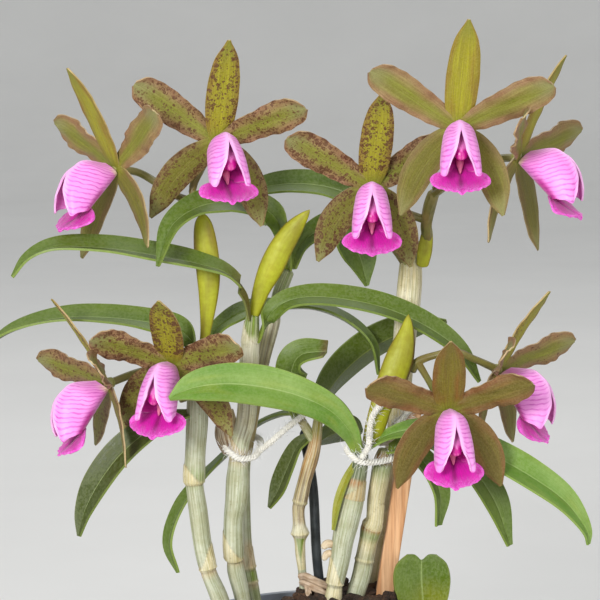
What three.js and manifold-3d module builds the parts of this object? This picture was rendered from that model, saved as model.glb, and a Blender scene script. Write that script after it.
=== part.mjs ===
// A potted orchid: seven canes in a bark-filled pot, with their leaves, sheaths, flower stalks and
// nine open blooms, tied to a wooden stake. Millimetres, +Z up, the front of the plant faces -Y.
// The origin is the centre of the pot's underside.
import * as THREE from "three";
import { mergeVertices } from "three/addons/utils/BufferGeometryUtils.js";
import Module from "manifold-3d";

const wasm = await Module();
wasm.setup();

// Pot and bark
const POT_HEIGHT = 85;
const POT_TOP_RADIUS = 57.5;
const POT_BASE_RADIUS = 41;
const POT_WALL = 2.4;
const POT_RIM_DEPTH = 9;
const POT_RIM_STEP = 2.2;
const POT_SIDES = 24;
const DRAIN_HOLES = 5;
const DRAIN_RADIUS = 4;
const DRAIN_CIRCLE = 25;
const BARK_EDGE = 78;
const BARK_HEAP = 18;
const BARK_HEAP_AT = [7, 2];
const BARK_HEAP_FLAT = 18;
const BARK_HEAP_REACH = 34;
const BARK_RELIEF = 3;
const BARK_RINGS = 4;

// Clearance kept between neighbouring pieces
const GAP = 0.3;

// Slivers smaller than this are taken off after cuts and joins
const CLEAN = 0.08;

// Thickness of the living sheets
const LEAF_THICK = 1.1;
const TEPAL_THICK = 0.9;
const LIP_THICK = 0.9;

// Blooms
const SEPAL_HALF = 6.4;
const PETAL_HALF = 6.3;
const PETAL_WAVE = 0.9;
const SICKLE = 3.4;
const HUB_RADIUS = 2.3;
const HUB_BACK = 3.4;
const HUB_FRONT = 0.8;
const COLUMN_LENGTH = 20;
const COLUMN_RISE = 8.5;
const COLUMN_RADIUS = 2.9;

// Twine
const TWINE_RADIUS = 1.4;

// Each cane: stations from below the bark to the crown, as [x, y, z, radius].
const CANES = {
  cane_1: [
    [-37.6, -7, 70, 3.3], [-44.2, -7, 96, 3.6], [-48.6, -7, 107, 3.2], [-49.5, -7, 111, 3.6],
    [-51.1, -7, 118.5, 3.7], [-52.9, -7, 133, 3.8], [-54.3, -7, 143.5, 3.7], [-54.3, -7, 145.5, 4.3],
    [-54, -6, 155, 4.1], [-53.2, -5, 169, 4.4], [-53, -5, 178, 4.1], [-51.5, -4, 193, 3.2],
  ],
  cane_2: [
    [-32.8, 5, 70, 3.2], [-35.3, 5, 93, 3.2], [-38.1, 5, 105.6, 3.6], [-38.6, 5, 110, 3.2],
    [-38.8, 4, 112, 4], [-38.9, 4, 126.5, 4.1], [-37.7, 3, 135, 4.6], [-37.2, 3, 143, 4.7],
    [-36.8, 2, 152, 3.9], [-36.2, 2, 159, 3.9], [-33.8, 2, 168, 4], [-32.3, 2, 194.5, 3.9],
    [-31.6, 2, 204, 3.3], [-31, 2, 211, 2.6],
  ],
  cane_3: [
    [-27.2, 16, 70, 2.2], [-30.2, 16, 90, 2.2], [-31.8, 16, 99, 2.4], [-33.2, 16, 107, 2.4],
    [-33.8, 16, 115, 2], [-34.2, 15, 132, 1.8], [-34, 14, 148, 1.8], [-32, 14, 160, 1.9],
    [-30.1, 14, 172, 2.1], [-27, 13.5, 190, 2.6], [-23, 13, 208, 3.2], [-22.4, 13, 211, 2.4],
    [-20.1, 13, 219, 2.8], [-16.5, 13, 228, 2.5],
  ],
  cane_4: [
    [-9.6, 4, 78, 1.6], [-10.4, 4, 93, 1.6], [-11, 4, 104, 1.6], [-11.8, 4, 112, 2],
    [-12, 4, 118, 2.3], [-12, 4, 121, 3.6], [-12.3, 4, 124.5, 2.7], [-12.6, 4, 131, 2.5],
    [-11.8, 4, 135, 3], [-10, 4, 143, 2.8], [-7.7, 4, 151, 3], [-6.3, 4, 156, 2.7],
    [-5.2, 4, 163, 2.2], [-4.6, 4, 169, 1.8],
  ],
  cane_5: [
    [-0.5, -8, 78, 3.4], [1.3, -8, 96, 3.6], [2, -8, 102, 3.1], [2.3, -8, 104, 3.5],
    [4.1, -8, 112.7, 4], [5.3, -8, 121, 4.4], [7, -8, 129, 4.9], [8.8, -8, 137, 4.8],
    [10.6, -8, 145.4, 3.9], [11.8, -8, 151, 3.4], [12.6, -8, 157, 2.8],
  ],
  cane_6: [
    [6.8, 0, 78, 3.4], [9.9, 0, 94, 3.6], [12.9, 0, 104.7, 3.8], [14.1, 0, 111, 3.8],
    [15.7, 0, 119, 3.8], [17, 0, 124.5, 4.3], [17.9, -1, 127, 3.5], [18.7, -1, 136, 3.6],
    [20, -2, 144, 3.8], [21.4, -2, 152, 3.8], [22.8, -2, 157, 2.9],
  ],
  cane_7: [
    [15.5, 18, 78, 3.6], [17.7, 18, 90, 3.7], [20.5, 18, 107, 3.8], [22.4, 18, 120, 4.3],
    [24.1, 18, 132, 3.8], [27.3, 18, 157, 4], [28.8, 17, 174, 4.3], [30.3, 15.5, 196, 4.6],
    [31.6, 14, 211, 5], [32.6, 14, 224, 4.9], [33, 14, 233, 4.2], [33.6, 13, 240, 3],
  ],
};

// Side growths fused to a cane: the short second neck of cane 4, root tips on cane 5.
const NECK = [[-6, 4, 158, 2], [-9.6, 4, 164.5, 1.9], [-13, 4, 170, 1.6]];
const ROOT_TIPS = [
  [[1.5, -8, 119, 1.6], [-1.2, -9, 119.5, 1.7], [-3.2, -9.6, 117.6, 1.2]],
  [[1.2, -8, 116, 1.4], [-1.4, -8.5, 115, 1.5], [-2.6, -9, 112.6, 1]],
];

// Wooden stake and dark stick, as [x, y, z]
const STAKE_WIDTH = 7;
const STAKE = [[19, 6, 72], [33.6, 6, 171]];
const STICK_RADIUS = 2;
const STICK = [[-1, 14, 74], [-5, 13, 108], [-6.9, 12.4, 140], [-11, 11.6, 163]];

// Leaves: centre line from the base to the tip as [x, y, z, half width], and the way that the upper
// face looks at the base and at the tip.
const LEAVES = {
  leaf_1: {
    line: [
      [-32, 0, 210, 2.2], [-34, -7, 221, 3.4], [-41, -12, 229, 5.2], [-52, -15, 233, 6.6],
      [-71, -18, 237, 7.4], [-90, -21, 240, 7.4], [-109, -23, 240, 6.2], [-118, -24, 236, 4],
      [-124, -25, 229, 0.8],
    ],
    face: [[-0.6, -0.5, 0.7], [-0.3, -0.25, 0.95]],
  },
  leaf_2: {
    line: [
      [-52.5, -4.5, 194, 2.4], [-55, -4, 201, 4], [-61, -2, 205.5, 5.4], [-72, 2, 207.5, 6.6],
      [-88, 5, 209, 7.2], [-109, 8, 208.5, 7], [-128, 10, 203.5, 5.2], [-142, 12, 195, 0.8],
    ],
    face: [[-0.9, -0.2, 0.4], [-0.2, -0.2, 0.95]],
  },
  leaf_3: {
    line: [
      [-29, 2, 200, 2], [-25, 0, 210, 3.4], [-18, 0, 216, 4.8], [-8, 1, 218, 5.8],
      [8, 3, 216.5, 6.4], [24, 4, 212.5, 6.6], [40, 4, 205, 6.2], [53, 5, 195, 4.2], [60.5, 6, 183, 0.8],
    ],
    face: [[0.6, -0.2, 0.75], [0.5, -0.7, 0.5]],
  },
  leaf_4: {
    line: [
      [-51, -3, 195, 2], [-47, 3, 203, 3], [-41, 9, 207.5, 4.2], [-33, 16.5, 210.5, 5.2],
      [-22, 23.5, 210.5, 6], [-6, 24, 210.5, 6.2], [8, 22, 205, 5.4], [17, 20, 196.5, 3.8],
      [20, 18, 184, 0.8],
    ],
    face: [[0.3, 0.2, 0.9], [0.85, -0.3, 0.45]],
  },
  leaf_5: {
    line: [
      [-16.5, 12, 228, 2], [-18, 8, 240, 3.6], [-22, 3, 250, 5], [-31, -3.5, 255.5, 6.2],
      [-42, -9.5, 257, 6.6], [-53, -15.5, 255, 6.4], [-62, -23, 248.5, 4.8], [-67, -31, 234, 0.8],
    ],
    face: [[-0.5, -0.6, 0.5], [-0.5, -0.8, 0.35]],
  },
  leaf_6: {
    line: [
      [-15, 14, 228, 2], [-12, 18, 236.5, 3.6], [-5, 21, 242.5, 5.4], [4, 25, 243, 7.6],
      [11.5, 27, 233.5, 8], [15.5, 27, 219.5, 0.8],
    ],
    face: [[-0.3, -0.5, 0.75], [0.45, -0.85, 0.25]],
  },
  leaf_7: {
    line: [
      [30.5, 11, 230, 2], [24, 12, 242, 3.8], [16, 15, 253, 5.2], [2, 18, 260, 6.2],
      [-14, 20, 262, 6.4], [-27, 20.5, 260.5, 5], [-38, 20.5, 257.5, 0.8],
    ],
    face: [[-0.75, -0.1, 0.5], [-0.1, -0.7, 0.7]],
  },
  leaf_8: {
    line: [
      [11.2, -10, 157, 2.2], [8, -16.5, 166, 3.8], [1, -22, 175, 5.6], [-11, -27, 182, 7],
      [-26, -31, 186.5, 8.2], [-41, -35, 188.5, 7.8], [-54, -38, 187.2, 5.6], [-62.5, -39.5, 183.5, 0.8],
    ],
    face: [[-0.35, -0.85, 0.4], [-0.1, -0.88, 0.45]],
  },
  leaf_9: {
    line: [
      [-4.2, 5, 168, 2], [-2.4, 14, 175, 6.4], [5, 24, 184, 8.4], [19, 31, 194.5, 8.4],
      [35, 32, 201.5, 6.4], [48.5, 30, 204.5, 0.8],
    ],
    face: [[-0.6, 0.7, 0.3], [-0.35, 0.85, 0.4]],
  },
  leaf_10: {
    line: [
      [-13, 4.5, 170, 1.8], [-20, 16, 167.5, 2.8], [-30, 24.5, 161.5, 3.6], [-40, 21, 152, 4.2],
      [-50, 9, 144, 4.6], [-60, 4.5, 132, 4.6], [-65, 3, 117, 3.8], [-61.5, 3, 105, 0.8],
    ],
    face: [[-0.3, 0.2, 0.9], [-0.8, -0.5, 0.3]],
  },
  leaf_11: {
    line: [
      [-7.5, 5, 161, 1.8], [-12.5, 6.5, 157, 3.2], [-17, 9.5, 147, 4.8], [-21, 11, 137, 4],
      [-24.5, 11.5, 130, 0.8],
    ],
    face: [[-0.6, -0.6, 0.3], [-0.7, -0.65, 0.25]],
  },
  leaf_12: {
    line: [
      [-5, 5, 158.5, 2], [-1, 11, 160, 4.8], [5, 18, 161, 6.4], [10.5, 24, 160, 5],
      [13.5, 27.5, 158.5, 1.2],
    ],
    face: [[-0.4, 0.8, 0.4], [-0.5, 0.85, 0.2]],
  },
  leaf_13: {
    line: [
      [13.5, -8.5, 157.5, 2.2], [22.5, -12.5, 164, 3], [32, -16, 167, 4.6], [47, -17, 165, 6.4],
      [63, -19, 158, 7.2], [79, -21.5, 149.4, 7.2], [93, -21, 139, 5.8], [101.5, -20, 127, 2.6],
      [102.5, -18.5, 121.5, 0.8],
    ],
    face: [[-0.3, -0.5, 0.8], [0.6, -0.7, 0.4]],
  },
  leaf_14: {
    line: [
      [-13.2, 4, 168, 1.8], [-14.6, -1, 179, 4.6], [-15.4, -5, 189.5, 6.4], [-11.5, -9.5, 196, 6.6],
      [-1.5, -13, 198, 5.4],
    ],
    face: [[0.1, -0.9, -0.3], [0.1, -0.5, 0.85]],
  },
  leaf_15: {
    line: [
      [23.5, -4.5, 156.5, 2], [30.5, -9, 158.5, 4], [38, -11.5, 152.5, 5.4], [43.5, -12, 141.5, 5],
      [43, -11, 127.5, 2],
    ],
    face: [[0.2, -0.6, 0.75], [0.75, -0.6, 0.2]],
  },
  leaf_16: {
    line: [
      [24, -1, 157, 2], [33, -3.5, 161.5, 3.6], [45, -6, 159, 5.4], [56, -8, 151, 6.4],
      [66, -9.5, 136.5, 6], [72, -9.5, 119, 1.4],
    ],
    face: [[-0.1, -0.4, 0.9], [0.55, -0.8, 0.3]],
  },
  leaf_17: {
    line: [
      [39, 2, 76, 1.8], [38.8, -1, 86, 5], [37.8, -3, 95, 9.6], [37, -4.5, 105, 11.4],
      [37, -5, 111, 10], [37, -5, 114.6, 5.8],
    ],
    face: [[0, -0.95, 0.3], [0, -0.97, 0.2]],
    notch: 2.6,
  },
  leaf_18: {
    line: [[10.4, -8.5, 153, 1.2], [6, -11.5, 145.5, 1.6], [3, -12.5, 137, 1.6], [1.2, -12.5, 126, 0.6]],
    face: [[-0.5, -0.8, 0.2], [-0.5, -0.85, 0]],
  },
  leaf_19: {
    line: [
      [-56, -6, 172, 2], [-64, -9.5, 170, 4.4], [-73, -13, 165.5, 6.4], [-84, -14.5, 156, 7.2],
      [-93, -15, 143.5, 6.6], [-98, -14.5, 133, 4.2], [-100, -15, 124, 0.8],
    ],
    face: [[-0.3, -0.6, 0.7], [-0.6, -0.75, 0.3]],
  },
};

// Flat sheaths that the flower stalks come out of, as [x, y, z, half width]
const SPATHES = {
  spathe_1: [
    [-51, -5, 195.5, 1.6], [-49.6, -5.6, 205, 2], [-48.4, -6, 219, 3.6], [-48.4, -6, 228, 4.4],
    [-49.5, -6, 240, 4.4], [-50.4, -6, 249, 3], [-50.6, -6, 252.5, 0.8],
  ],
  spathe_2: [
    [-30.8, 1.6, 208.5, 1.8], [-27.8, 0.4, 220, 3.2], [-23.5, -0.5, 230, 4.6], [-19, -1, 239, 4.4],
    [-14, -1.5, 246.5, 3.4], [-8, -2, 253.5, 0.6],
  ],
  spathe_3: [[37.2, 9.5, 229, 2.2], [38.2, 8, 236, 2.8], [39, 7, 243, 2.2], [39.2, 6.6, 250.5, 0.6]],
  spathe_4: [
    [15.4, -9.5, 158.5, 2.6], [17.6, -10.5, 166, 3.8], [20.4, -11, 176, 4.2], [24.4, -10.4, 186, 5.4],
    [28, -9, 196, 5.2], [30.4, -7, 205, 3], [31.2, -5.5, 212, 0.6],
  ],
};
const SPATHE_FLAT = 0.5;

// Flower stalks: the first line of each group is the trunk, and the others branch off it.
const STALKS = {
  stalk_1: [
    [
      [-51, -5.8, 254, 1.6], [-53.4, -4.4, 256.5, 1.6], [-54.5, -3.4, 262, 1.5],
      [-51.5, -3.4, 269, 1.5], [-47, -6, 276.5, 1.5], [-44, -14, 281, 1.6],
    ],
    [
      [-53.8, -4.2, 257, 1.5], [-60, -2.4, 258.5, 1.5], [-69, 0, 264, 1.5], [-76, -0.4, 268, 1.5],
      [-85, -8, 270, 1.6],
    ],
  ],
  stalk_2: [
    [[39.5, 8.4, 240, 2], [38.6, 5.6, 246, 2.3], [39.6, 2, 254, 2.4], [41.4, -1.4, 261, 2.2]],
    [
      [40.8, -0.4, 259, 1.6], [44, -6, 262, 1.5], [47.6, -12, 266, 1.5], [49.4, -17.5, 276, 1.5],
      [49, -26, 287, 1.6],
    ],
    [
      [41.2, -0.8, 260.5, 1.8], [46, -3.6, 266.5, 1.5], [54, -6.4, 271.5, 1.5], [63, -9.6, 274, 1.5],
      [74, -14, 275, 1.6],
    ],
    [[38.8, 4.6, 248.5, 1.6], [30, 3.4, 252, 1.5], [22, 1.4, 258, 1.5], [16, -8, 263, 1.6]],
  ],
  stalk_3: [
    [
      [-57.6, -3.6, 176.5, 2.6], [-60, -2.4, 181, 2], [-63, -1.4, 186, 1.6], [-64.4, -6, 190.5, 1.5],
      [-63, -16, 193, 1.6],
    ],
    [[-62.6, -1.4, 185.5, 1.6], [-67, 1.6, 188.6, 1.5], [-75, 1.6, 188, 1.5], [-89, -6, 184, 1.6]],
  ],
  stalk_4: [
    [
      [32.4, -5.6, 188.5, 1.6], [34.6, -5.4, 192.4, 1.8], [42, -8.4, 196, 1.4], [50, -9.4, 197.4, 1.4],
      [58, -7.6, 194, 1.4], [68, -4, 189, 1.6],
    ],
    [[35, -5.6, 192.6, 1.5], [38.6, -12, 187, 1.3], [42.4, -19, 180.5, 1.4], [46, -30, 177, 1.6]],
  ],
};

// Blooms: the point where the sepals and petals meet, how far the bloom turns to the right (degrees),
// how far it nods, the slope of its lip below level, and the tips of the sepals and petals from that
// point, as [right, back, up].
const BLOOMS = [
  {
    at: [-85, -8, 270], turn: -55, nod: 14, lipSlope: 44,
    dorsal: [-17, -13, 40], petals: [[-26, 26, 17], [18, -32, 24]],
    laterals: [[-15, 17, -37], [14, -19, -29]],
  },
  {
    at: [-44, -14, 281], turn: 14, nod: 14, lipSlope: 41,
    dorsal: [5, -18, 40], petals: [[-32, -8, 23], [34, -14, 14]],
    laterals: [[-27, 4, -30], [17, 0, -33]],
  },
  {
    at: [16, -8, 263], turn: 0, nod: 14, lipSlope: 48,
    dorsal: [4, -20, 38], petals: [[-33, -12, 20], [29, -2, 18]],
    laterals: [[-21, 4, -30], [16, 1, -32]],
  },
  {
    at: [49, -26, 287], turn: 0, nod: 12, lipSlope: 44,
    dorsal: [3, -14, 42], petals: [[-34, -9, 22.5], [35, -17, 17.4]],
    laterals: [[-22, 4, -34], [17, -10, -33]],
  },
  {
    at: [74, -14, 275], turn: 67, nod: 14, lipSlope: 44,
    dorsal: [17, -7, 40], petals: [[-1.5, -37, 18], [27, 27, 9]],
    laterals: [[-13, -14, -32], [10, 25, -39]],
  },
  {
    at: [-89, -6, 184], turn: -72, nod: 16, lipSlope: 56,
    dorsal: [-21, -8, 35], petals: [[-30, 25, 6], [-3, -36, 14]],
    laterals: [[-7, 24, -29], [9, -25, -29]],
  },
  {
    at: [-63, -16, 193], turn: -16, nod: 18, lipSlope: 49,
    dorsal: [-3, -28, 29], petals: [[-30.5, -12, 12], [27.5, -22, 11]],
    laterals: [[-20, 9, -27], [24, -2, -28]],
  },
  {
    at: [46, -30, 177], turn: 5, nod: 20, lipSlope: 53,
    dorsal: [-1, -26, 31], petals: [[-32, -15, 12], [31.5, -13, 13]],
    laterals: [[-20, 2, -31], [21, 2, -30]],
  },
  {
    at: [68, -4, 189], turn: 63, nod: 16, lipSlope: 55,
    dorsal: [18.5, -10, 33], petals: [[1, -36, 14], [32, 22, 9]],
    laterals: [[-9, -18, -26], [7, 18, -32]],
  },
];

// Twine ties: closed turns round the canes, then the run that joins them, as [x, y, z]
const TIES = {
  tie_1: {
    turns: [
      [
        [-42.4, 2, 157], [-37, -3.6, 153.6], [-31, -1, 153.4], [-28.4, 8, 155.6], [-28.6, 16, 157.6],
        [-33, 18.6, 158.8], [-40, 11, 158.6],
      ],
    ],
    runs: [
      [
        [-29, 3.4, 154.6], [-24, 3, 158.6], [-18.9, 1.6, 163.4], [-13.4, 0, 168.2], [-8.5, -0.4, 172],
        [-4.6, 0, 172.6], [-2, 2.6, 171.6], [-1.8, 5.4, 170.2],
      ],
    ],
  },
  tie_2: {
    turns: [
      [
        [6.8, -8, 157.6], [11, -13.2, 154.2], [18, -10.6, 153.2], [25, -7, 154], [33.4, 0.4, 155.6],
        [36.2, 7, 156], [30, 11.4, 156.6], [17, 5.8, 158], [8.8, -1.4, 158.4],
      ],
    ],
    runs: [
      [
        [12.6, -13.4, 155], [15.2, -15, 160.4], [15.6, -14.8, 165.4], [16.4, -14.8, 171],
        [19.4, -15.2, 176.4], [25, -14.6, 179.6], [30.6, -9.4, 178], [33, -3, 174.6],
        [30.6, 0.4, 170.6], [26.4, -1.4, 167], [24.4, -3.2, 163.6],
      ],
    ],
  },
};

// Roots lying over the bark, as [x, y, z, radius]
const ROOTS = [
  [
    [-12.6, 1.2, 103.6, 1.2], [-10, -0.6, 104.4, 1.5], [-7.2, -3, 103.6, 1.5], [-3, -3.2, 101.6, 1.5],
    [0.8, -1.6, 99.4, 1.4], [2.5, 0.5, 95.5, 1.2],
  ],
  [
    [-12, 1, 101.6, 1.2], [-9.6, -1.4, 101.4, 1.5], [-5.6, -4.2, 100, 1.5], [-2.4, -4.6, 98.2, 1.5],
    [0.6, -3, 95, 1.3],
  ],
  [[-9.4, -1.6, 101, 1.2], [-8.6, -4.4, 98.6, 1.3], [-8.4, -6, 94.5, 1.2]],
];

const DEGREE = Math.PI / 180;

// A solid from its corners and triangles, turned the right way out.
function solidFrom(corners, triangles) {
  const vertProperties = new Float32Array(corners.flat());
  const make = (list) => {
    const triVerts = new Uint32Array(list.flat());
    return new wasm.Manifold(new wasm.Mesh({ numProp: 3, vertProperties, triVerts }));
  };
  const made = make(triangles);
  return made.volume() > 0 ? made : make(triangles.map(([a, b, c]) => [a, c, b]));
}

// A solid from a closed three.js geometry.
function solidFromGeometry(geometry) {
  const bare = geometry.clone();
  bare.deleteAttribute("normal");
  bare.deleteAttribute("uv");
  const merged = mergeVertices(bare, 1e-4);
  return new wasm.Manifold(
    new wasm.Mesh({
      numProp: 3,
      vertProperties: new Float32Array(merged.attributes.position.array),
      triVerts: new Uint32Array(merged.index.array),
    }),
  );
}

const allOf = (solids) => solids.reduce((whole, part) => whole.add(part));

function largestBody(solid) {
  return solid.decompose().reduce((a, b) => (a.volume() > b.volume() ? a : b));
}

const point = (p) => new THREE.Vector3(p[0], p[1], p[2]);

// Points of a smooth line through the stations, with the fourth number of each read off along it.
function alongStations(stations, steps) {
  const curve = new THREE.CatmullRomCurve3(stations.map(point), false, "centripetal");
  return Array.from({ length: steps + 1 }, (_, i) => {
    const t = i / steps;
    const at = t * (stations.length - 1);
    const k = Math.min(Math.floor(at), stations.length - 2);
    const size = THREE.MathUtils.lerp(stations[k][3], stations[k + 1][3], at - k);
    return { at: curve.getPoint(t), ahead: curve.getTangent(t), size, t };
  });
}

// A round or flattened stem through its stations, with a cap at each end.
function stem(stations, { sides = 7, face = [0, -1, 0], flat = 1, steps, grow = 0 } = {}) {
  const rings = alongStations(stations, steps ?? stations.length - 1);
  const corners = [];
  rings.forEach(({ at, ahead, size }, i) => {
    const side = new THREE.Vector3().crossVectors(ahead, point(face)).normalize();
    const front = new THREE.Vector3().crossVectors(side, ahead).normalize();
    const end = i === 0 ? -grow : i === rings.length - 1 ? grow : 0;
    for (let k = 0; k < sides; k++) {
      const turn = ((k + 0.5) / sides) * 2 * Math.PI;
      const place = at
        .clone()
        .addScaledVector(side, (size + grow) * Math.cos(turn))
        .addScaledVector(front, (size * flat + grow) * Math.sin(turn))
        .addScaledVector(ahead, end);
      corners.push(place.toArray());
    }
  });
  const last = (rings.length - 1) * sides;
  const triangles = [];
  for (let i = 0; i < rings.length - 1; i++)
    for (let k = 0; k < sides; k++) {
      const a = i * sides + k;
      const b = i * sides + ((k + 1) % sides);
      triangles.push([a, b, b + sides], [a, b + sides, a + sides]);
    }
  for (let k = 1; k < sides - 1; k++) {
    triangles.push([0, k + 1, k]);
    triangles.push([last, last + k, last + k + 1]);
  }
  return solidFrom(corners, triangles);
}

// A thin closed sheet: place(s, t) gives its middle surface, with s along it from 0 to 1 and t across
// it from -1 to 1. Both faces are split into triangles the same way.
function sheet(rows, columns, thickness, place) {
  const middle = [];
  for (let i = 0; i <= rows; i++)
    for (let j = 0; j <= columns; j++) middle.push(place(i / rows, (2 * j) / columns - 1));
  const wide = columns + 1;
  const within = THREE.MathUtils.clamp;
  const get = (i, j) => middle[within(i, 0, rows) * wide + within(j, 0, columns)];
  const corners = [];
  for (const half of [thickness / 2, -thickness / 2])
    for (let i = 0; i <= rows; i++)
      for (let j = 0; j <= columns; j++) {
        const along = new THREE.Vector3().subVectors(get(i + 1, j), get(i - 1, j));
        const across = new THREE.Vector3().subVectors(get(i, j + 1), get(i, j - 1));
        const normal = new THREE.Vector3().crossVectors(along, across).normalize();
        corners.push(get(i, j).clone().addScaledVector(normal, half).toArray());
      }
  const back = middle.length;
  const triangles = [];
  const wall = (a, b) => triangles.push([a, b, b + back], [a, b + back, a + back]);
  for (let i = 0; i < rows; i++)
    for (let j = 0; j < columns; j++) {
      const a = i * wide + j;
      const b = a + 1;
      const c = b + wide;
      const d = a + wide;
      triangles.push([a, b, c], [a, c, d]);
      triangles.push([a + back, c + back, b + back], [a + back, d + back, c + back]);
    }
  for (let j = 0; j < columns; j++) {
    wall(j + 1, j);
    wall(rows * wide + j, rows * wide + j + 1);
  }
  for (let i = 0; i < rows; i++) {
    wall(i * wide, (i + 1) * wide);
    wall((i + 1) * wide + columns, i * wide + columns);
  }
  return solidFrom(corners, triangles);
}

// A strap leaf folded along its midrib.
const LEAF_FOLD = 0.3;

function leaf({ line, face, notch = 0 }, grow = 0) {
  const steps = Math.max(6, line.length - 1);
  const rings = alongStations(line, steps);
  const place = (s, t) => {
    const { at, ahead, size } = rings[Math.round(s * steps)];
    const look = point(face[0]).lerp(point(face[1]), s);
    const side = new THREE.Vector3().crossVectors(ahead, look).normalize();
    const up = new THREE.Vector3().crossVectors(side, ahead).normalize();
    const half = size + grow;
    const pullBack = s === 1 && t === 0 ? notch : 0;
    return at
      .clone()
      .addScaledVector(side, half * t)
      .addScaledVector(up, LEAF_FOLD * half * Math.abs(t))
      .addScaledVector(ahead, (s === 1 ? grow : s === 0 ? -grow : 0) - pullBack);
  };
  return sheet(steps, 2, LEAF_THICK + 2 * grow, place);
}

// How wide a sepal and a petal are along their length, as [place, share of the full width].
const SEPAL_SHAPE = [[0, 0.5], [0.2, 0.9], [0.5, 1], [0.8, 0.74], [1, 0.08]];
const PETAL_SHAPE = [[0, 0.32], [0.22, 0.74], [0.48, 1], [0.74, 1.04], [0.93, 0.82], [1, 0.22]];

// The directions of a bloom: right, up and forward, with the nod.
function bloomAxes({ turn, nod }) {
  const right = new THREE.Vector3(Math.cos(turn * DEGREE), Math.sin(turn * DEGREE), 0);
  const level = new THREE.Vector3(Math.sin(turn * DEGREE), -Math.cos(turn * DEGREE), 0);
  const forward = level.clone().multiplyScalar(Math.cos(nod * DEGREE));
  forward.z -= Math.sin(nod * DEGREE);
  const up = new THREE.Vector3().crossVectors(forward, right);
  return { right, level, forward, up };
}

// One sepal or petal from the bloom's centre to its tip.
function tepal(bloom, tip, { half, shape, wave = 0, sickle = 0, grow = 0 }) {
  const { forward, up } = bloomAxes(bloom);
  const centre = point(bloom.at);
  const reach = point(tip);
  const ahead = reach.clone().normalize();
  const side = new THREE.Vector3().crossVectors(ahead, forward).normalize();
  if (side.dot(up) < 0) side.negate();
  const front = new THREE.Vector3().crossVectors(side, ahead);
  if (front.dot(forward) < 0) front.negate();
  const rows = shape.length - 1;
  const place = (row, t) => {
    const [s, share] = shape[Math.round(row * rows)];
    const width = half * share + grow;
    const bend = Math.sin(Math.PI * s);
    const ripple = wave * Math.abs(t) * Math.sin(2 * Math.PI * (2.1 * s + 0.25 * t)) * Math.min(1, 3 * s);
    return centre
      .clone()
      .addScaledVector(reach, s)
      .addScaledVector(ahead, s === 1 ? grow : 0)
      .addScaledVector(side, width * t + sickle * bend)
      .addScaledVector(front, ripple - 0.12 * width * Math.abs(t) - 0.8 * bend);
  };
  return sheet(rows, 2, TEPAL_THICK + 2 * grow, place);
}

function bloomSolid(bloom, grow = 0) {
  const { forward } = bloomAxes(bloom);
  const centre = point(bloom.at);
  const hubAt = (distance, radius) => {
    const at = centre.clone().addScaledVector(forward, distance);
    return [...at.toArray(), radius];
  };
  const hubLine = [hubAt(-HUB_BACK, 0.8 * HUB_RADIUS), hubAt(0, HUB_RADIUS), hubAt(HUB_FRONT, HUB_RADIUS)];
  const face = Math.abs(forward.y) > 0.7 ? [0, 0, 1] : [0, -1, 0];
  const hub = stem(hubLine, { sides: 6, face, grow });
  const sepal = { half: SEPAL_HALF, shape: SEPAL_SHAPE, grow };
  const petal = { half: PETAL_HALF, shape: PETAL_SHAPE, wave: PETAL_WAVE, grow };
  return allOf([
    hub,
    tepal(bloom, bloom.dorsal, sepal),
    ...bloom.petals.map((tip) => tepal(bloom, tip, petal)),
    ...bloom.laterals.map((tip) => tepal(bloom, tip, { ...sepal, sickle: SICKLE })),
  ]);
}

// The lip is drawn on its own slope: along it, above it and to the right of it.
// Side lobes, as [along, height of the margin, half width, distance of the margin from the middle]
const SIDE_LOBES = [
  [1.6, 3.8, 2.8, 0.75],
  [7.4, 11.4, 5.6, 0.75],
  [15, 13.6, 6.9, 1.3],
  [22.5, 11.4, 7.8, 3],
  [29, 4.4, 7.4, 4.3],
];
const LOBE_FLOOR = -1.5;
// Front lobe, as [along, height, half width]
const FRONT_LOBE = [
  [19.5, -1.3, 3],
  [25, -1.1, 9.8],
  [30, 0.2, 10.4],
  [35, 1.7, 7.2],
];
const FRONT_LOBE_POINT = 1.6;

function lipSolid(bloom) {
  const { right, level } = bloomAxes(bloom);
  const slope = bloom.lipSlope * DEGREE;
  const along = level.clone().multiplyScalar(Math.cos(slope));
  along.z -= Math.sin(slope);
  const above = level.clone().multiplyScalar(Math.sin(slope));
  above.z += Math.cos(slope);
  const put = (x, a, b) =>
    point(bloom.at).addScaledVector(right, x).addScaledVector(along, a).addScaledVector(above, b);
  const lobeRows = SIDE_LOBES.length - 1;
  const lobes = sheet(lobeRows, 4, LIP_THICK, (s, t) => {
    const [a, height, half, margin] = SIDE_LOBES[Math.round(s * lobeRows)];
    const u = Math.abs(t);
    const wide = u === 1 ? margin : half * Math.sqrt(2 * u);
    return put(wide * Math.sign(t), a, LOBE_FLOOR + (height - LOBE_FLOOR) * u ** 1.6);
  });
  const frontRows = FRONT_LOBE.length - 1;
  const front = sheet(frontRows, 4, LIP_THICK, (s, t) => {
    const [a, height, half] = FRONT_LOBE[Math.round(s * frontRows)];
    const tipPoint = s === 1 && t === 0 ? FRONT_LOBE_POINT : 0;
    const frill = 0.9 * Math.abs(t) * Math.sin(4 * s + 1);
    return put(half * t, a + tipPoint - 1.2 * s * t * t, height + frill - 0.8 * t * t);
  });
  const start = put(0, 1.6, 0);
  const end = put(0, 1.6 + COLUMN_LENGTH, COLUMN_RISE);
  const column = stem([[...start.toArray(), COLUMN_RADIUS * 0.7], [...end.toArray(), COLUMN_RADIUS]], {
    sides: 5,
    face: right.toArray(),
  });
  return lobes.add(front).add(column);
}

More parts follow.
